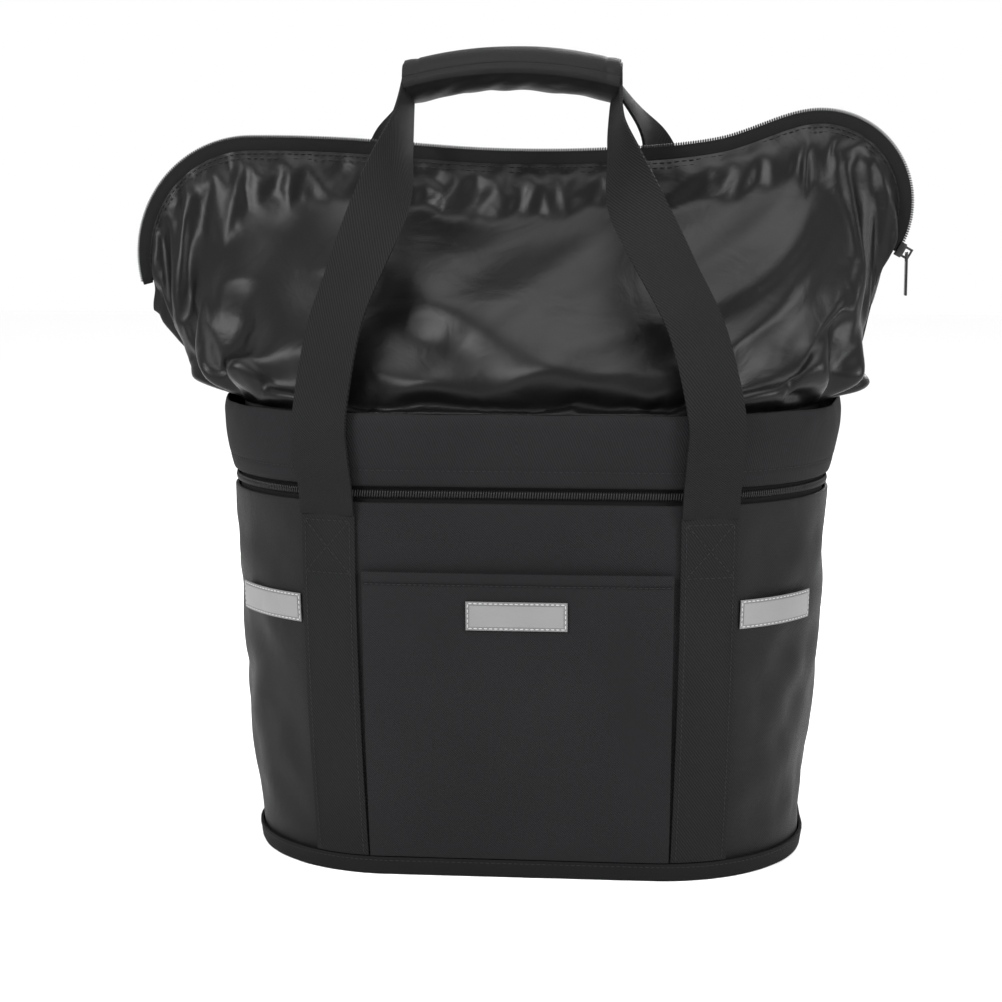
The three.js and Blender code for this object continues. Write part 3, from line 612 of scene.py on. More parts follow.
def bandWave(distance, height):
    b = band
    rise = ease(height, b["low"] + 0.008, bag["bandTop"])
    signed = signedPlace(distance)
    side = hump(abs(signed), sideMiddle, b["endSpread"])
    lift = b["endLift"] * side * rise * (1.0 if signed > 0 else b["leftLift"])
    ripples = b["waves"] * ripple(distance, height, 0.0, b["waveScale"])
    ripples += b["crumple"] * ripple(distance, height, 3.0, b["crumpleScale"])
    groove = -b["groove"] * hump(height, b["low"] + b["stitchRise"], b["grooveWidth"])
    sway = b["sway"] * rise * ripple(distance, 0.0, 5.0, b["swayScale"])
    return ripples * rise + groove + b["endOut"] * side * rise, lift + sway


def buildBand():
    low, high = band["low"], bag["bandTop"] - band["hemDrop"]
    swell, thick = band["swell"], band["thickness"]
    outer = [(swell * out, low + (high - low) * rise) for out, rise in band["fullness"]]
    inner = [(out - thick, height) for out, height in reversed(outer[1:])]
    hem = [(swell - thick * 0.3, high), (swell - thick * 0.7, high)]
    profile = outer + hem + inner + [(-layers["wall"] + 0.0008, low)]
    piece = ringPiece("rimBand", profile, 300, 56, bandWave)
    pick(piece)
    bpy.ops.object.shade_smooth()
    finish(piece, twill, replaces=["rim_band"])


def coilTeeth(name, places, pitch, wide, deep, body, node):
    # one coil loop copied along the path; places gives each point with its run, cross and out directions
    bpy.ops.object.select_all(action="DESELECT")
    bpy.ops.mesh.primitive_torus_add(major_segments=8, minor_segments=4, major_radius=0.5, minor_radius=0.16)
    loop = bpy.context.object
    points = [v.co.copy() for v in loop.data.vertices]
    faces = [tuple(p.vertices) for p in loop.data.polygons]
    bpy.data.objects.remove(loop)
    vertices = []
    polygons = []
    for spot, run, cross, out in places:
        start = len(vertices)
        for p in points:
            lean = run * (p.z * pitch * 2.3 + p.x * pitch * 0.35)
            vertices.append(spot + lean + cross * (p.x * wide * 0.76) + out * (p.y * deep * 0.76))
        polygons += [tuple(start + i for i in face) for face in faces]
    piece = meshPiece(name, vertices, polygons)
    bpy.ops.object.shade_smooth()
    return finish(piece, coilNylon, body, [node])


rimZip = dict(pitch=0.0015, wide=0.0050, deep=0.0024, step=0.001, hoop=0.002)


def buildRimZip():
    count = int(fullRound / rimZip["pitch"])
    middle = -inside + layers["gap"] + rimZip["deep"] / 2
    step = rimZip["step"]
    places = []
    for i in range(count):
        distance = i / count * fullRound
        spot = wallPoint(distance, bag["zip"], middle)
        ahead = (wallPoint(distance + step, bag["zip"], middle) - spot).normalized()
        out = (wallPoint(distance, bag["zip"], middle + step) - spot).normalized()
        places.append((spot, ahead, Vector((0, 0, 1)), out))
    coilTeeth("rimCoil", places, rimZip["pitch"], rimZip["wide"], rimZip["deep"], "bag", "rim_zip_coil")

    outer = -inside - layers["tape"]
    for name, node in (("rimLowerTape", "rim_zip_lower_tape"), ("rimUpperTape", "rim_zip_upper_tape")):
        low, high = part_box(node)[0][2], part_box(node)[1][2]
        tape = ringPiece(name, roundedBar(outer, -inside, low, high), 240, 12)
        finish(tape, tapeWeb, replaces=[node])
    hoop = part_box("rim_frame")
    bar = ringPiece("rimHoop", roundedBar(outer - rimZip["hoop"], outer, hoop[0][2], hoop[1][2]), 200, 12)
    finish(bar, plainAluminium, replaces=["rim_frame"])


buildBand()
buildRimZip()
print("stage: rim")

# heights and radii of the two lobes, the cloth's slack and how the simulation holds it; angles in degrees
hood = dict(
    lobeX=bag["rimHalf"] - 0.008,
    leftZ=bag["bandTop"] + 0.087, leftRadius=0.074, leftEnd=211.0,
    rightZ=bag["bandTop"] + 0.119, rightRadius=0.0575, rightEnd=-52.0,
    ridgeZ=bag["bandTop"] + 0.153,
    saddle=((0.17, 0.2), (0.42, 1.0), (0.63, 1.0), (0.82, 0.75)),
    zipReach=0.93, tape=0.011, tuck=0.002, hem=0.030, lip=0.0036, lipDepth=0.0095, lipEnd=0.002,
    hang=0.046, lobeHang=0.6, belly=0.030, bulge=0.024, climb=0.048, endPull=0.35,
    across=340, along=60, foldDepth=0.0095, growth=-0.035, travel=0.011, frames=16, thickness=0.0009,
)
# how deep each kind of fold is, against foldDepth, and where it lies
folds = dict(
    gathers=(0.205, -0.195, 0.345, -0.345), fan=0.7, fanRays=9.0, fanMiddle=0.03, fanWidth=0.055,
    slant=1.1, crease=0.8, creaseBase=0.32, fine=0.35, flute=0.22, flutePitch=230.0,
    puff=0.0055, puffRise=0.17, puffWidth=0.10, pucker=0.0009, puckerPitch=520.0, puckerRise=0.965,
    puckerWidth=0.018,
)


def lobeArc(side, z, radius, start, end, count):
    points = []
    for i in range(count):
        angle = math.radians(mix(start, end, i / 40))
        points.append((side * hood["lobeX"] + radius * math.cos(angle), z + radius * math.sin(angle)))
    return points


def ridgeLine():
    h = hood
    leftTop, rightTop = h["leftZ"] + h["leftRadius"], h["rightZ"] + h["rightRadius"]
    knots = [(-h["lobeX"], leftTop)]
    for share, rise in h["saddle"]:
        top = leftTop if share < 0.5 else rightTop
        knots.append((-h["lobeX"] + 2 * h["lobeX"] * share, mix(top, h["ridgeZ"], rise)))
    knots.append((h["lobeX"], rightTop))
    before = (knots[0][0] * 2 - knots[1][0], knots[1][1])
    after = (knots[-1][0] * 2 - knots[-2][0], knots[-2][1])
    knots = [Vector((x, z, 0)) for x, z in (before, *knots, after)]
    spans = len(knots) - 1
    points = lobeArc(-1, h["leftZ"], h["leftRadius"], h["leftEnd"], 90.0, 40)
    for i in range(100):
        spot = catmull(knots, mix(1 / spans, 1 - 1 / spans, i / 100))
        points.append((spot.x, spot.y))
    points += lobeArc(1, h["rightZ"], h["rightRadius"], 90.0, h["rightEnd"], 41)
    lengths = [0.0]
    for (x0, z0), (x1, z1) in zip(points, points[1:]):
        lengths.append(lengths[-1] + math.hypot(x1 - x0, z1 - z0))
    return points, lengths


ridgePoints, ridgeLengths = ridgeLine()
ridgeLength = ridgeLengths[-1]


def ridgeSpot(along):
    target = min(max(along, 0.0), 1.0) * ridgeLength
    low, high = 0, len(ridgeLengths) - 1
    while high - low > 1:
        middle = (low + high) // 2
        if ridgeLengths[middle] > target:
            high = middle
        else:
            low = middle
    f = (target - ridgeLengths[low]) / (ridgeLengths[high] - ridgeLengths[low])
    (x0, z0), (x1, z1) = ridgePoints[low], ridgePoints[high]
    return mix(x0, x1, f), mix(z0, z1, f)


def onRidge(along, back, out):
    # out is square to the ridge, away from the cloth
    x, z = ridgeSpot(along)
    x0, z0 = ridgeSpot(along - 0.004)
    x1, z1 = ridgeSpot(along + 0.004)
    run = Vector((x1 - x0, 0, z1 - z0)).normalized()
    return Vector((x - run.z * out, back, z + run.x * out))


def hoodSpot(distance, rise, out=0.0):
    # rise goes from 0 at the band to 1 at the ridge; below 0 it is the hem inside the band
    h = hood
    wrapped = distance % fullRound
    right = wrapped <= halfRound
    half = wrapped if right else fullRound - wrapped
    front = half < sideMiddle
    reach = towardEnd(half)
    tuck = layers["tape"] + inside + h["tuck"] + layers["gap"]
    if rise <= 0:
        return wallPoint(distance, bag["bandTop"] + rise * h["hem"], out - tuck)
    foot = wallPoint(distance, bag["bandTop"], out - tuck)
    outward = wallPoint(distance, bag["bandTop"], 1.0) - wallPoint(distance, bag["bandTop"], 0.0)
    sideways = 1 if right else -1
    toBack = -1 if front else 1
    along = 0.5 + 0.5 * sideways * reach
    blunt = reach ** 8
    lipY = toBack * (h["lip"] + out) * math.sqrt(max(0.0, 1 - blunt))
    inset = mix(h["lipDepth"], h["lipEnd"], ease(reach, h["zipReach"] + 0.016, 1.0))
    lip = onRidge(along, lipY, -inset)
    lip.x += sideways * (layers["cloth"] + out) * blunt
    x0, z0 = ridgeSpot(along - 0.05)
    x1, z1 = ridgeSpot(along + 0.05)
    inward = Vector((z1 - z0, 0, x0 - x1)).normalized()
    hang = mix(h["hang"], h["lobeHang"] * h["hang"], ease(reach, 0.55, 0.8))
    pull = reach ** 4
    below = (inward * hang).lerp((foot - lip) * h["endPull"], pull) + lip
    below.y += toBack * h["belly"] * (1 - reach ** 2)
    climb = Vector((0, 0, h["climb"])).lerp((lip - foot) * h["endPull"], pull)
    above = foot + climb + outward * (h["bulge"] * (1 - 0.6 * pull))
    t = rise
    s = 1 - rise
    return foot * s ** 3 + above * (3 * s * s * t) + below * (3 * s * t * t) + lip * t ** 3


def foldLift(distance, rise):
    # folds that fan out of the gathers beside the band, and broad slanting ones over the front and back
    f = folds
    place = signedPlace(distance)
    lift = 0.0
    for gather in f["gathers"]:
        dx = place - gather
        dy = rise * 0.2 + 0.004
        far = math.hypot(dx, dy)
        wobble = 2.0 * noise.noise(Vector((gather * 40, far * 20, 0)))
        rays = math.sin(math.atan2(dy, dx) * f["fanRays"] + wobble)
        lift += f["fan"] * rays * hump(far, f["fanMiddle"], f["fanWidth"])
    lift += f["slant"] * noise.noise(Vector((place * 13.0 + rise * 3.0, rise * 0.9 - place * 3.0, 1.7)))
    crease = noise.noise(Vector((place * 9.0 - rise * 3.2, rise * 1.4 + place * 6.0, 4.4)))
    lift += f["crease"] * (f["creaseBase"] - abs(crease))
    lift += f["fine"] * noise.noise(Vector((place * 34.0 - rise * 5.0, rise * 3.4, 6.1)))
    flutes = math.sin(place * f["flutePitch"] + 9 * noise.noise(Vector((place * 12, 0, 0))))
    lift += f["flute"] * flutes * ease(rise, 0.80, 0.95)
    puff = f["puff"] * hump(rise, f["puffRise"], f["puffWidth"])
    pucker = f["pucker"] * math.sin(place * f["puckerPitch"]) * hump(rise, f["puckerRise"], f["puckerWidth"])
    calm = ease(rise, 0.0, 0.12) * ease(1.0 - rise, 0.0, 0.10)
    calm *= 1 - 0.8 * ease(towardEnd(abs(place)), 0.90, 0.97)
    return (hood["foldDepth"] * lift + puff) * calm + pucker


def simulateCloth(piece, pinned):
    # the hood's cloth is cut a little large, so it buckles into folds between its two seams
    rest = [v.co.copy() for v in piece.data.vertices]
    group = piece.vertex_groups.new(name="sewn")
    group.add(pinned, 1.0, "REPLACE")
    cloth = piece.modifiers.new("cloth", "CLOTH")
    settings = cloth.settings
    settings.quality = 5
    settings.mass = 0.15
    settings.tension_stiffness = 25
    settings.compression_stiffness = 25
    settings.shear_stiffness = 8
    settings.bending_stiffness = 1.2
    settings.air_damping = 2
    settings.shrink_min = hood["growth"]
    settings.vertex_group_mass = "sewn"
    settings.effector_weights.gravity = 0.5
    settings.use_pressure = True
    settings.uniform_pressure_force = 0.25
    cloth.collision_settings.use_collision = False
    scene = bpy.context.scene
    cloth.point_cache.frame_start = 1
    cloth.point_cache.frame_end = hood["frames"]
    for step in range(1, hood["frames"] + 1):
        scene.frame_set(step)
    shaped = piece.evaluated_get(bpy.context.evaluated_depsgraph_get()).data
    moved = [v.co.copy() for v in shaped.vertices]
    piece.modifiers.remove(cloth)
    piece.vertex_groups.clear()
    for vertex, start, end in zip(piece.data.vertices, rest, moved):
        step = end - start
        if step.length > hood["travel"]:
            step *= hood["travel"] / step.length
        vertex.co = start + step
    scene.frame_set(1)


def buildHood():
    def place(u, v):
        distance, rise = u * fullRound, mix(-0.5, 1.0, v)
        spot = hoodSpot(distance, rise)
        if rise > 0:
            lift = foldLift(distance, rise)
            spot = spot + (hoodSpot(distance, rise, 0.001) - hoodSpot(distance, rise)).normalized() * lift
        return spot

    sheet = placeGrid("hoodCloth", hood["across"], hood["along"], place, (fullRound, 0.24), closeAcross=True)
    reach = [(v.index, v.co.z) for v in sheet.data.vertices]
    low = [i for i, z in reach if z < bag["bandTop"] + 0.001]
    simulateCloth(sheet, sorted(set(low) | nearEdge(sheet, 2)))
    pick(sheet)
    shape(sheet, "SUBSURF", levels=1, render_levels=1)
    thicken(sheet, hood["thickness"], soften=False)
    bpy.ops.object.shade_smooth()
    finish(sheet, hoodNylon, body=None, replaces=["hood"])
    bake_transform(sheet)


def edgeVertices(piece):
    uses = {}
    for polygon in piece.data.polygons:
        for key in polygon.edge_keys:
            uses[key] = uses.get(key, 0) + 1
    return {i for key, count in uses.items() if count == 1 for i in key}


def nearEdge(piece, rows):
    # the open edges, and as many rows of the sheet as are held with them
    held = edgeVertices(piece)
    for row in range(rows):
        beside = [set(polygon.vertices) for polygon in piece.data.polygons if held & set(polygon.vertices)]
        held = held.union(*beside)
    return held


ridgeZip = dict(
    pitch=0.0015, wide=0.0048, deep=0.0026, sink=0.42, near=0.0012, spread=0.0004, overrun=0.004,
    tapeFrom=0.0015, tapeOver=0.0025, endTaper=0.007, wave=0.0003, waveScale=60.0,
)


def buildRidgeZip():
    z = ridgeZip
    start, end = 0.5 - hood["zipReach"] / 2, 0.5 + hood["zipReach"] / 2
    count = int(ridgeLength * hood["zipReach"] / z["pitch"])
    places = []
    for i in range(count + 1):
        along = mix(start, end, i / count)
        spot = onRidge(along, 0.0, -z["wide"] * z["sink"])
        out = (onRidge(along, 0.0, 0.001) - onRidge(along, 0.0, 0.0)).normalized()
        run = Vector((out.z, 0, -out.x))
        places.append((spot, run, out, Vector((0, 1, 0))))
    coilTeeth("ridgeChain", places, z["pitch"], z["wide"], z["deep"], "ridge", "top_zip_chain")

    near = z["near"] + layers["gap"]
    for name, node, side in (("ridgeFrontTape", "top_zip_front_tape", -1),
                             ("ridgeBackTape", "top_zip_back_tape", 1)):
        def place(u, v, side=side):
            along = mix(start - z["overrun"], end + z["overrun"], u)
            taper = z["endTaper"] * ease(abs(2 * u - 1), 0.955, 1.0) ** 2
            depth = mix(z["tapeFrom"], hood["tape"] + z["tapeOver"] - taper, v)
            wave = z["wave"] * ripple(along * ridgeLength, depth, 2.0 + side, z["waveScale"])
            wave *= ease(v, 0.1, 0.5)
            return onRidge(along, side * (near + z["spread"] * ease(v, 0.0, 0.4) + wave), -depth)

        tape = placeGrid(name, 420, 22, place, (ridgeLength, 0.02))
        thicken(tape, layers["tape"], offset=0.0, soften=False)
        bpy.ops.object.shade_smooth()
        finish(tape, tapeWeb, "ridge", [node])


buildRidgeZip()
buildHood()
print("stage: hood and ridge zip")

grip = dict(
    middle=(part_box("grip_wrap")[0][0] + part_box("grip_wrap")[1][0]) / 2,
    length=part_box("grip_wrap")[1][0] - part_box("grip_wrap")[0][0],
    arch=0.009, halfDepth=0.015, halfHeight=0.011, wall=0.0024, girth=0.083, cloth=0.0020, slack=0.0010,
    loose=0.0013, looseScale=62.0, endFlare=0.0010, inset=0.002, webbingGap=0.0023, webbingHalf=0.0017,
)
grip["z"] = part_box("grip_wrap")[1][2] - grip["halfHeight"]
flap = dict(
    start=15.0, end=190.0, cut=0.047, cloth=0.0014, stand=0.0021, lifted=0.0014, hem=0.0005,
    groove=0.0006, loose=0.0005, looseScale=45.0,
)
# each strap's name, its place round the rim, its side and its face
legs = [
    ("front_left", -bag["strapSpread"], -1, -1),
    ("front_right", bag["strapSpread"], 1, -1),
    ("back_left", bag["strapSpread"] - halfRound, -1, 1),
    ("back_right", halfRound - bag["strapSpread"], 1, 1),
]
# the free strap stands off the zip and the band, then leans in to the grip; a back strap flares sideways
web = dict(
    width=layers["webbingWidth"], thickness=layers["webbing"],
    sewnTop=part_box("front_left_webbing_sewn")[1][2],
    flare=0.020, zipOut=0.004, bandOut=0.009, rimOut=0.010, gripSpread=0.0070, gripInset=0.003,
    parts=(0.25, 0.45, 0.65, 0.84, 1.0), turn=0.80, fold=0.45, cup=0.0012, edge=0.00035, length=0.29,
    sag=0.0004, stand=0.0002,
)


def strapFrame(place, side, face):
    start = web["sewnTop"] + layers["gap"]
    zipSpot, bandTop = bag["zip"], bag["bandTop"]
    low = [(start, layers["gap"] + web["thickness"] / 2), (zipSpot + 0.004, web["zipOut"]),
           ((zipSpot + bandTop) / 2, web["bandOut"]), (bandTop, web["rimOut"])]
    points = [wallPoint(place, height, out) for height, out in low]
    begin = points[-1]
    endX = grip["middle"] + side * (grip["length"] / 2 - web["gripInset"])
    end = Vector((endX, face * web["gripSpread"], grip["z"] - grip["arch"] - 0.001))
    for part in web["parts"]:
        lean = ease(part, 0.0, 0.9)
        flare = side * (web["flare"] if face > 0 else 0.0) * math.sin(math.pi * part ** 3)
        x = mix(begin.x, end.x, lean) + flare
        points.append(Vector((x, mix(begin.y, end.y, part ** 1.8), mix(begin.z, end.z, part))))
    flat = (wallPoint(place, start, 0.0, 0.001) - wallPoint(place, start, 0.0, -0.001)).normalized()
    return points, flat, Vector((0, -side, 0))


def buildFreeStrap(name, place, side, face):
    points, flat, edgeOn = strapFrame(place, side, face)

    def spot(u, v):
        here = catmull(points, v)
        run = (catmull(points, min(1.0, v + 0.01)) - catmull(points, max(0.0, v - 0.01))).normalized()
        turned = web["turn"] * ease(v, 0.5 if face < 0 else 0.66, 0.94)
        width = flat.lerp(edgeOn, turned).normalized()
        width = (width - run * width.dot(run)).normalized()
        normal = run.cross(width)
        folded = mix(1.0, web["fold"], ease(v, 0.8, 1.0))
        across = (u - 0.5) * web["width"]
        cup = web["cup"] * math.sin(v * 7.0 + side) * (1 - (2 * u - 1) ** 2) * ease(v, 0.1, 0.4)
        # the woven edge is a little thicker than the middle
        edge = web["edge"] * hump(abs(u - 0.5), 0.46, 0.02)
        return here + width * (across * folded) + normal * (cup - edge)

    strap = placeGrid(name, 16, 150, spot, (web["width"], web["length"]))
    thicken(strap, web["thickness"], offset=0.0, soften=False)
    smoothEdges(60)
    return strap


def sewnWave(distance, height):
    return web["sag"] * ripple(distance, height, 9.0, 25.0) + web["stand"]


def buildWebbing():
    low = bag["bindingTop"] + layers["gap"]
    out = layers["gap"] + web["thickness"]
    for leg, place, side, face in legs:
        strap = buildFreeStrap(f"{leg}Strap", place, side, face)
        finish(strap, strapWeb, body=None, replaces=[f"{leg}_webbing_free"])
        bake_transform(strap)
        sewn = wallPanel(f"{leg}SewnStrap", place, place, low, web["sewnTop"] + 0.001, out, sewnWave, 16, 90,
                         shiftWidth=web["width"])
        thicken(sewn, web["thickness"] - 0.0003)
        finish(sewn, strapWeb, replaces=[f"{leg}_webbing_sewn"])


buildWebbing()
print("stage: webbing")


def gripSpot(across, y, z):
    drop = grip["arch"] * (across / (grip["length"] / 2)) ** 2
    return Vector((across + grip["middle"], y, z + grip["z"] - drop))


def wrapSpot(u, v):
    angle = -u * 2 * math.pi
    across = mix(-0.5, 0.5, v) * grip["length"]
    loose = grip["loose"] * ripple(math.cos(angle) * 0.02 + across * 0.7, math.sin(angle) * 0.02, across,
                                   grip["looseScale"])
    spread = loose + grip["endFlare"] * abs(2 * v - 1) ** 6
    y = (grip["halfDepth"] - grip["slack"] + spread) * math.cos(angle)
    z = (grip["halfHeight"] - grip["slack"] + 0.0002 + spread) * math.sin(angle)
    return gripSpot(across, y, z)


def flapSpot(u, v):
    # u runs from the free edge in front to the sewn edge behind
    turn = 1 - u
    f = flap
    angle = math.radians(mix(f["start"], f["end"], turn))
    across = mix(-0.5, 0.5, v) * (grip["length"] - grip["inset"])
    end = abs(2 * v - 1)
    lifted = f["lifted"] * ease(turn, 0.82, 1.0) * (1 + 0.5 * ripple(across, 0.0, 0.0, 60.0))
    hem = f["hem"] * (ease(end, 0.9, 0.96) + ease(turn, 0.90, 0.94))
    groove = f["groove"] * (hump(end, 0.88, 0.012) + hump(turn, 0.86, 0.014))
    loose = f["loose"] * ripple(angle * 0.02, across, 3.0, f["looseScale"])
    out = f["stand"] + loose + lifted * 0.6 + hem - groove
    y = (grip["halfDepth"] + out) * math.cos(angle)
    return gripSpot(across, y, (grip["halfHeight"] + out) * math.sin(angle))


def buildGrip():
    wrap = placeGrid("gripWrap", 64, 90, wrapSpot, (grip["girth"], grip["length"]), closeAcross=True)
    thicken(wrap, grip["cloth"], soften=False)
    finish(wrap, gripNylon, "grip", ["grip_wrap"])

    leaf = placeGrid("gripFlap", 90, 110, flapSpot, (0.05, grip["length"]))
    thicken(leaf, flap["cloth"], soften=False)
    smoothEdges(60)
    finish(leaf, gripNylon, "flap", ["grip_flap"])

    tall = grip["halfHeight"] - grip["wall"] - 0.0014
    for name, node, face in (("frontGripWebbing", "front_grip_webbing", -1),
                             ("backGripWebbing", "back_grip_webbing", 1)):
        def foldSpot(u, v, face=face):
            angle = -u * 2 * math.pi
            wide = math.cos(angle)
            y = face * grip["webbingGap"]
            if abs(wide) > 1e-6:
                y += grip["webbingHalf"] * wide * abs(wide) ** -0.4
            return gripSpot(mix(-0.5, 0.5, v) * (grip["length"] - grip["inset"]), y, tall * math.sin(angle))

        fold = placeGrid(name, 24, 40, foldSpot, (web["width"], grip["length"]), closeAcross=True)
        pick(fold)
        startEdit("DESELECT")
        bpy.ops.mesh.select_non_manifold()
        bpy.ops.mesh.edge_face_add()
        endEdit()
        finish(fold, strapWeb, "grip", [node])


buildGrip()
print("stage: grip")

strip = dict(
    width=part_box("front_reflector")[1][0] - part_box("front_reflector")[0][0], border=0.0022, thickness=0.0006,
    face=0.00025, aside=0.033, stitch=0.0030, stitchRadius=0.00035, stand=0.0002, pocketStand=0.0003,
)


def stripSag(distance, height):
    return max(0.0, sideSag(distance, height)) + strip["stand"]


def pocketStripSag(distance, height):
    return pocketSag(distance, height) * 0.9 + strip["pocketStand"]


def buildReflectors():
    aside = bag["strapSpread"] + web["width"] / 2 + strip["aside"]
    low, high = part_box("front_reflector")[0][2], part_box("front_reflector")[1][2]
    border, thickness = strip["border"], strip["thickness"]
    places = (("frontStrip", "front_reflector", 0.0, 2 * layers["gap"] + layers["cloth"], pocketStripSag),
              ("rightStrip", "right_reflector", aside, layers["gap"], stripSag),
              ("leftStrip", "left_reflector", -aside, layers["gap"], stripSag))
    for name, node, middle, out, sag in places:
        parts = (("Edge", 0.0, 0.0, silverEdge, [node]), ("Face", border, strip["face"], silverTape, ()))
        for part, inset, lift, material, nodes in parts:
            piece = wallPanel(name + part, middle, middle, low + inset, high - inset, out + thickness + lift,
                              sag, 40, 14, shiftWidth=strip["width"] - 2 * inset)
            thicken(piece, thickness + lift, soften=False)
            finish(piece, material, replaces=nodes)

        inset = border * 0.5
        half = strip["width"] / 2 - inset

        def onStrip(height, shift, sagHeight):
            return wallPoint(middle, height, out + thickness + sag(middle + shift, sagHeight), shift)

        rows = []
        for height in (low + inset, high - inset):
            rows += stitchRun(lambda t: onStrip(height, mix(-half, half, t), height),
                              2 * half, strip["stitch"])
        for shift in (-half, half):
            rows += stitchRun(lambda t: onStrip(mix(low + inset, high - inset, t), shift, mix(low, high, t)),
                              high - low - 2 * inset, strip["stitch"])
        stitches(name + "Stitches", rows, strip["stitchRadius"], threadPale, "bag")


def stitchRun(path, length, pitch, fill=0.68):
    # path gives a point for 0 to 1 along the row; fill is the share of the pitch that the thread covers
    count = max(2, round(length / pitch))
    return [(path((i + 0.5 - fill / 2) / count), path((i + 0.5 + fill / 2) / count)) for i in range(count)]


def stitches(name, rows, radius, material, body):
    # each stitch is a short six-sided bead with tapered ends
    sides = 6
    vertices = []
    polygons = []
    for start, end in rows:
        run = end - start
        side = run.cross(Vector((0.3, 0.5, 0.8))).normalized()
        up = run.cross(side).normalized()
        base = len(vertices)
        for along, size in ((0.0, 0.45), (0.25, 1.0), (0.75, 1.0), (1.0, 0.45)):
            for k in range(sides):
                angle = k * math.pi / 3
                around = side * math.cos(angle) + up * math.sin(angle)
                vertices.append(start + run * along + around * radius * size)
        for ring in range(3):
            for k in range(sides):
                a = base + ring * sides + k
                b = base + ring * sides + (k + 1) % sides
                polygons.append((a, b, b + sides, a + sides))
        last = base + 3 * sides
        polygons += [tuple(base + k for k in reversed(range(sides))), tuple(last + k for k in range(sides))]
    piece = meshPiece(name, vertices, polygons)
    return finish(piece, material, body, ())


buildReflectors()

# pitches, margins and heights of the stitch rows, in metres
sewing = dict(
    pitch=0.0034, radius=0.00028, margin=0.003, foot=0.002, box=0.031, diagonal=0.041, out=0.0003,
    hemPitch=0.0032, hemMargin=0.0015, hemOut=0.0026, bandRows=0.006, bandSink=0.0002,
    bindingDrop=0.0022, bindingOut=0.0001, ridgePitch=0.0036, ridgeRises=(0.988, 0.966), ridgeOut=0.0006,
)


def sewStrap(place):
    out = layers["gap"] + web["thickness"] + sewing["out"]
    low = bag["bindingTop"]
    top = web["sewnTop"] - sewing["margin"]
    half = web["width"] / 2 - sewing["margin"]
    box = top - sewing["box"]
    foot = low + sewing["foot"]
    rows = []
    for shift in (-half, half):
        rows += stitchRun(lambda t: wallPoint(place, mix(foot, top, t), out, shift),
                          top - low, sewing["pitch"])
    for height in (box, top):
        rows += stitchRun(lambda t: wallPoint(place, height, out, mix(-half, half, t)),
                          2 * half, sewing["pitch"])
    for flip in (-1, 1):
        rows += stitchRun(lambda t: wallPoint(place, mix(box, top, t), out, flip * mix(-half, half, t)),
                          sewing["diagonal"], sewing["pitch"])
    return rows


def hemPoint(t):
    hem = pocket["hem"] - pocket["hemStitch"]
    half = pocket["half"] - sewing["hemMargin"]
    across = mix(-half, half, t)
    return wallPoint(across, hem, sewing["hemOut"] + pocketSag(across, hem))


def buildSeamStitches():
    rows = []
    for leg, place, side, face in legs:
        rows += sewStrap(place)
    rows += stitchRun(hemPoint, 2 * (pocket["half"] - sewing["hemMargin"]), sewing["hemPitch"])
    for rise in (band["stitchRise"], band["stitchRise"] + sewing["bandRows"]):
        height = band["low"] + rise
        share = rise / (bag["bandTop"] - band["low"])
        fullness = 0.05 + 1.9 * share if share < 0.3 else 0.6 + 0.9 * (share - 0.3)
        out = band["swell"] * fullness - sewing["bandSink"]
        rows += stitchRun(lambda t: wallPoint(t * fullRound, height, out), fullRound, sewing["pitch"])
    height = bag["bindingTop"] - sewing["bindingDrop"]
    out = layers["gap"] + layers["cloth"] + sewing["bindingOut"]
    rows += stitchRun(lambda t: wallPoint(t * fullRound, height, out), fullRound, sewing["pitch"])
    stitches("seamStitches", rows, sewing["radius"], threadBlack, "bag")

    rows = []
    reach = sideMiddle * hood["zipReach"]
    backReach = (halfRound - sideMiddle) * hood["zipReach"]
    for rise in sewing["ridgeRises"]:
        for middle, half in ((0.0, reach), (halfRound, backReach)):
            rows += stitchRun(lambda t: hoodSpot(middle + mix(-half, half, t), rise, sewing["ridgeOut"]),
                              2.1 * half, sewing["ridgePitch"])
    stitches("ridgeStitches", rows, sewing["radius"], threadBlack, "ridge")


buildSeamStitches()
print("stage: strips and stitches")

# the rounding of each part's edges, in metres
rounding = dict(bracket=0.0007, plate=0.0006, button=0.0010, zip=0.0003)


def dressNode(node, material, body, width=0.0, angle=35.0):
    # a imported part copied, welded, rounded along its edges and shown in place of the plain one
    source = frame["nodes"][node]
    piece = source.copy()
    piece.data = source.data.copy()
    piece.name = piece.data.name = node + "Finished"
    piece.parent = None
    bpy.context.collection.objects.link(piece)
    piece.hide_render = piece.hide_viewport = False
    for key in list(piece.keys()):
        del piece[key]
    pick(piece)
    startEdit()
    bpy.ops.mesh.remove_doubles(threshold=2e-6)
    if width:
        bpy.ops.mesh.dissolve_limited(angle_limit=math.radians(2))
    endEdit()
    if width:
        roundEdges(piece, width, angle)
    smoothEdges(angle)
    return finish(piece, material, body, [node])


def buildHardParts():
    dressNode("adapter_plate", blackPlastic, "bag", rounding["plate"])
    for node in ("bracket_body", "left_clamp_cap", "right_clamp_cap"):
        dressNode(node, blackPlastic, "bag", rounding["bracket"])
    dressNode("release_button", redPlastic, "button", rounding["button"])
    for zipper in ("top", "rim"):
        for part in ("slider", "pull"):
            dressNode(f"{zipper}_zip_{part}", blackMetal, f"{zipper}_{part}", rounding["zip"])
    spring = dressNode("button_spring", zincSteel, None, angle=80.0)
    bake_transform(spring)
    materials = {"aluminium": plainAluminium, "steel": zincSteel, "grey_board": boardGrey}
    for node, shown in frame["nodes"].items():
        if shown.hide_render:
            continue
        shown.data.materials.clear()
        shown.data.materials.append(materials.get(slotOf(node), twill))


def slotOf(node):
    return next(part["material_slot"] for part in frame["record"]["subparts"] if part["node"] == node)


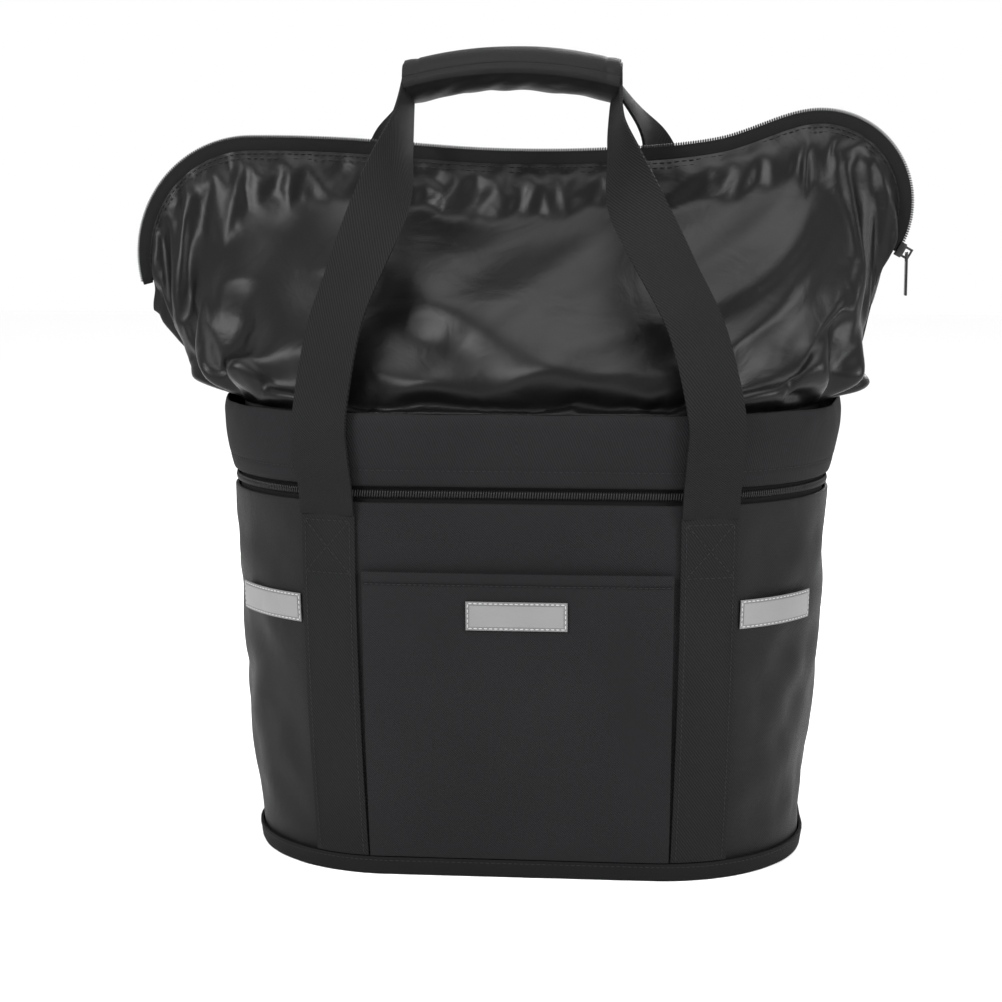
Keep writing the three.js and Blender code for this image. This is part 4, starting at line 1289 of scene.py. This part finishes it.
buildHardParts()
print("stage: hard parts")

studio = dict(
    floor=(0.97, 0.97, 0.97), floorSize=12, floorDrop=0.0005, sky=1.0, aim=(0, 0, 0.28),
    lamps=(
        ("key", (-1.0, -1.2, 1.1), 0.5, 36.0),
        ("fill", (1.3, -0.9, 0.8), 0.5, 24.0),
        ("top", (0.1, -0.2, 1.6), 0.9, 14.0),
        ("rear", (0.5, 1.5, 1.0), 0.9, 18.0),
    ),
)
view = dict(lens=74.0, distance=1.29, height=0.402, azimuth=4.0, heading=4.86, pitch=8.36)


def buildStudio():
    bpy.ops.object.select_all(action="DESELECT")
    bpy.ops.mesh.primitive_plane_add(size=studio["floorSize"], location=(0, 0, -studio["floorDrop"]))
    floor = bpy.context.object
    floor.name = "floor"
    paper = bpy.data.materials.new("paleFloor")
    paper.use_nodes = True
    shader = paper.node_tree.nodes["Principled BSDF"]
    shader.inputs["Base Color"].default_value = (*studio["floor"], 1)
    shader.inputs["Roughness"].default_value = 0.9
    floor.data.materials.append(paper)

    world = bpy.data.worlds.new("studio")
    world.use_nodes = True
    sky = world.node_tree.nodes["Background"]
    sky.inputs[0].default_value = (1, 1, 1, 1)
    sky.inputs[1].default_value = studio["sky"]
    bpy.context.scene.world = world

    for name, place, size, power in studio["lamps"]:
        lamp = bpy.data.lights.new(name, "AREA")
        lamp.energy = power
        lamp.size = size
        light = bpy.data.objects.new(name, lamp)
        light.location = place
        light.rotation_euler = (Vector(studio["aim"]) - Vector(place)).to_track_quat("-Z", "Y").to_euler()
        bpy.context.collection.objects.link(light)


def buildCamera():
    eye = bpy.data.cameras.new("camera")
    eye.lens = view["lens"]
    eye.sensor_width = 36.0
    camera = bpy.data.objects.new("camera", eye)
    turn = math.radians(view["azimuth"])
    camera.location = (view["distance"] * math.sin(turn), -view["distance"] * math.cos(turn), view["height"])
    camera.rotation_euler = (math.radians(90 - view["pitch"]), 0, math.radians(view["heading"]))
    bpy.context.collection.objects.link(camera)
    bpy.context.scene.camera = camera


buildStudio()
buildCamera()
bpy.context.scene.view_settings.view_transform = "Standard"
print("stage: studio")
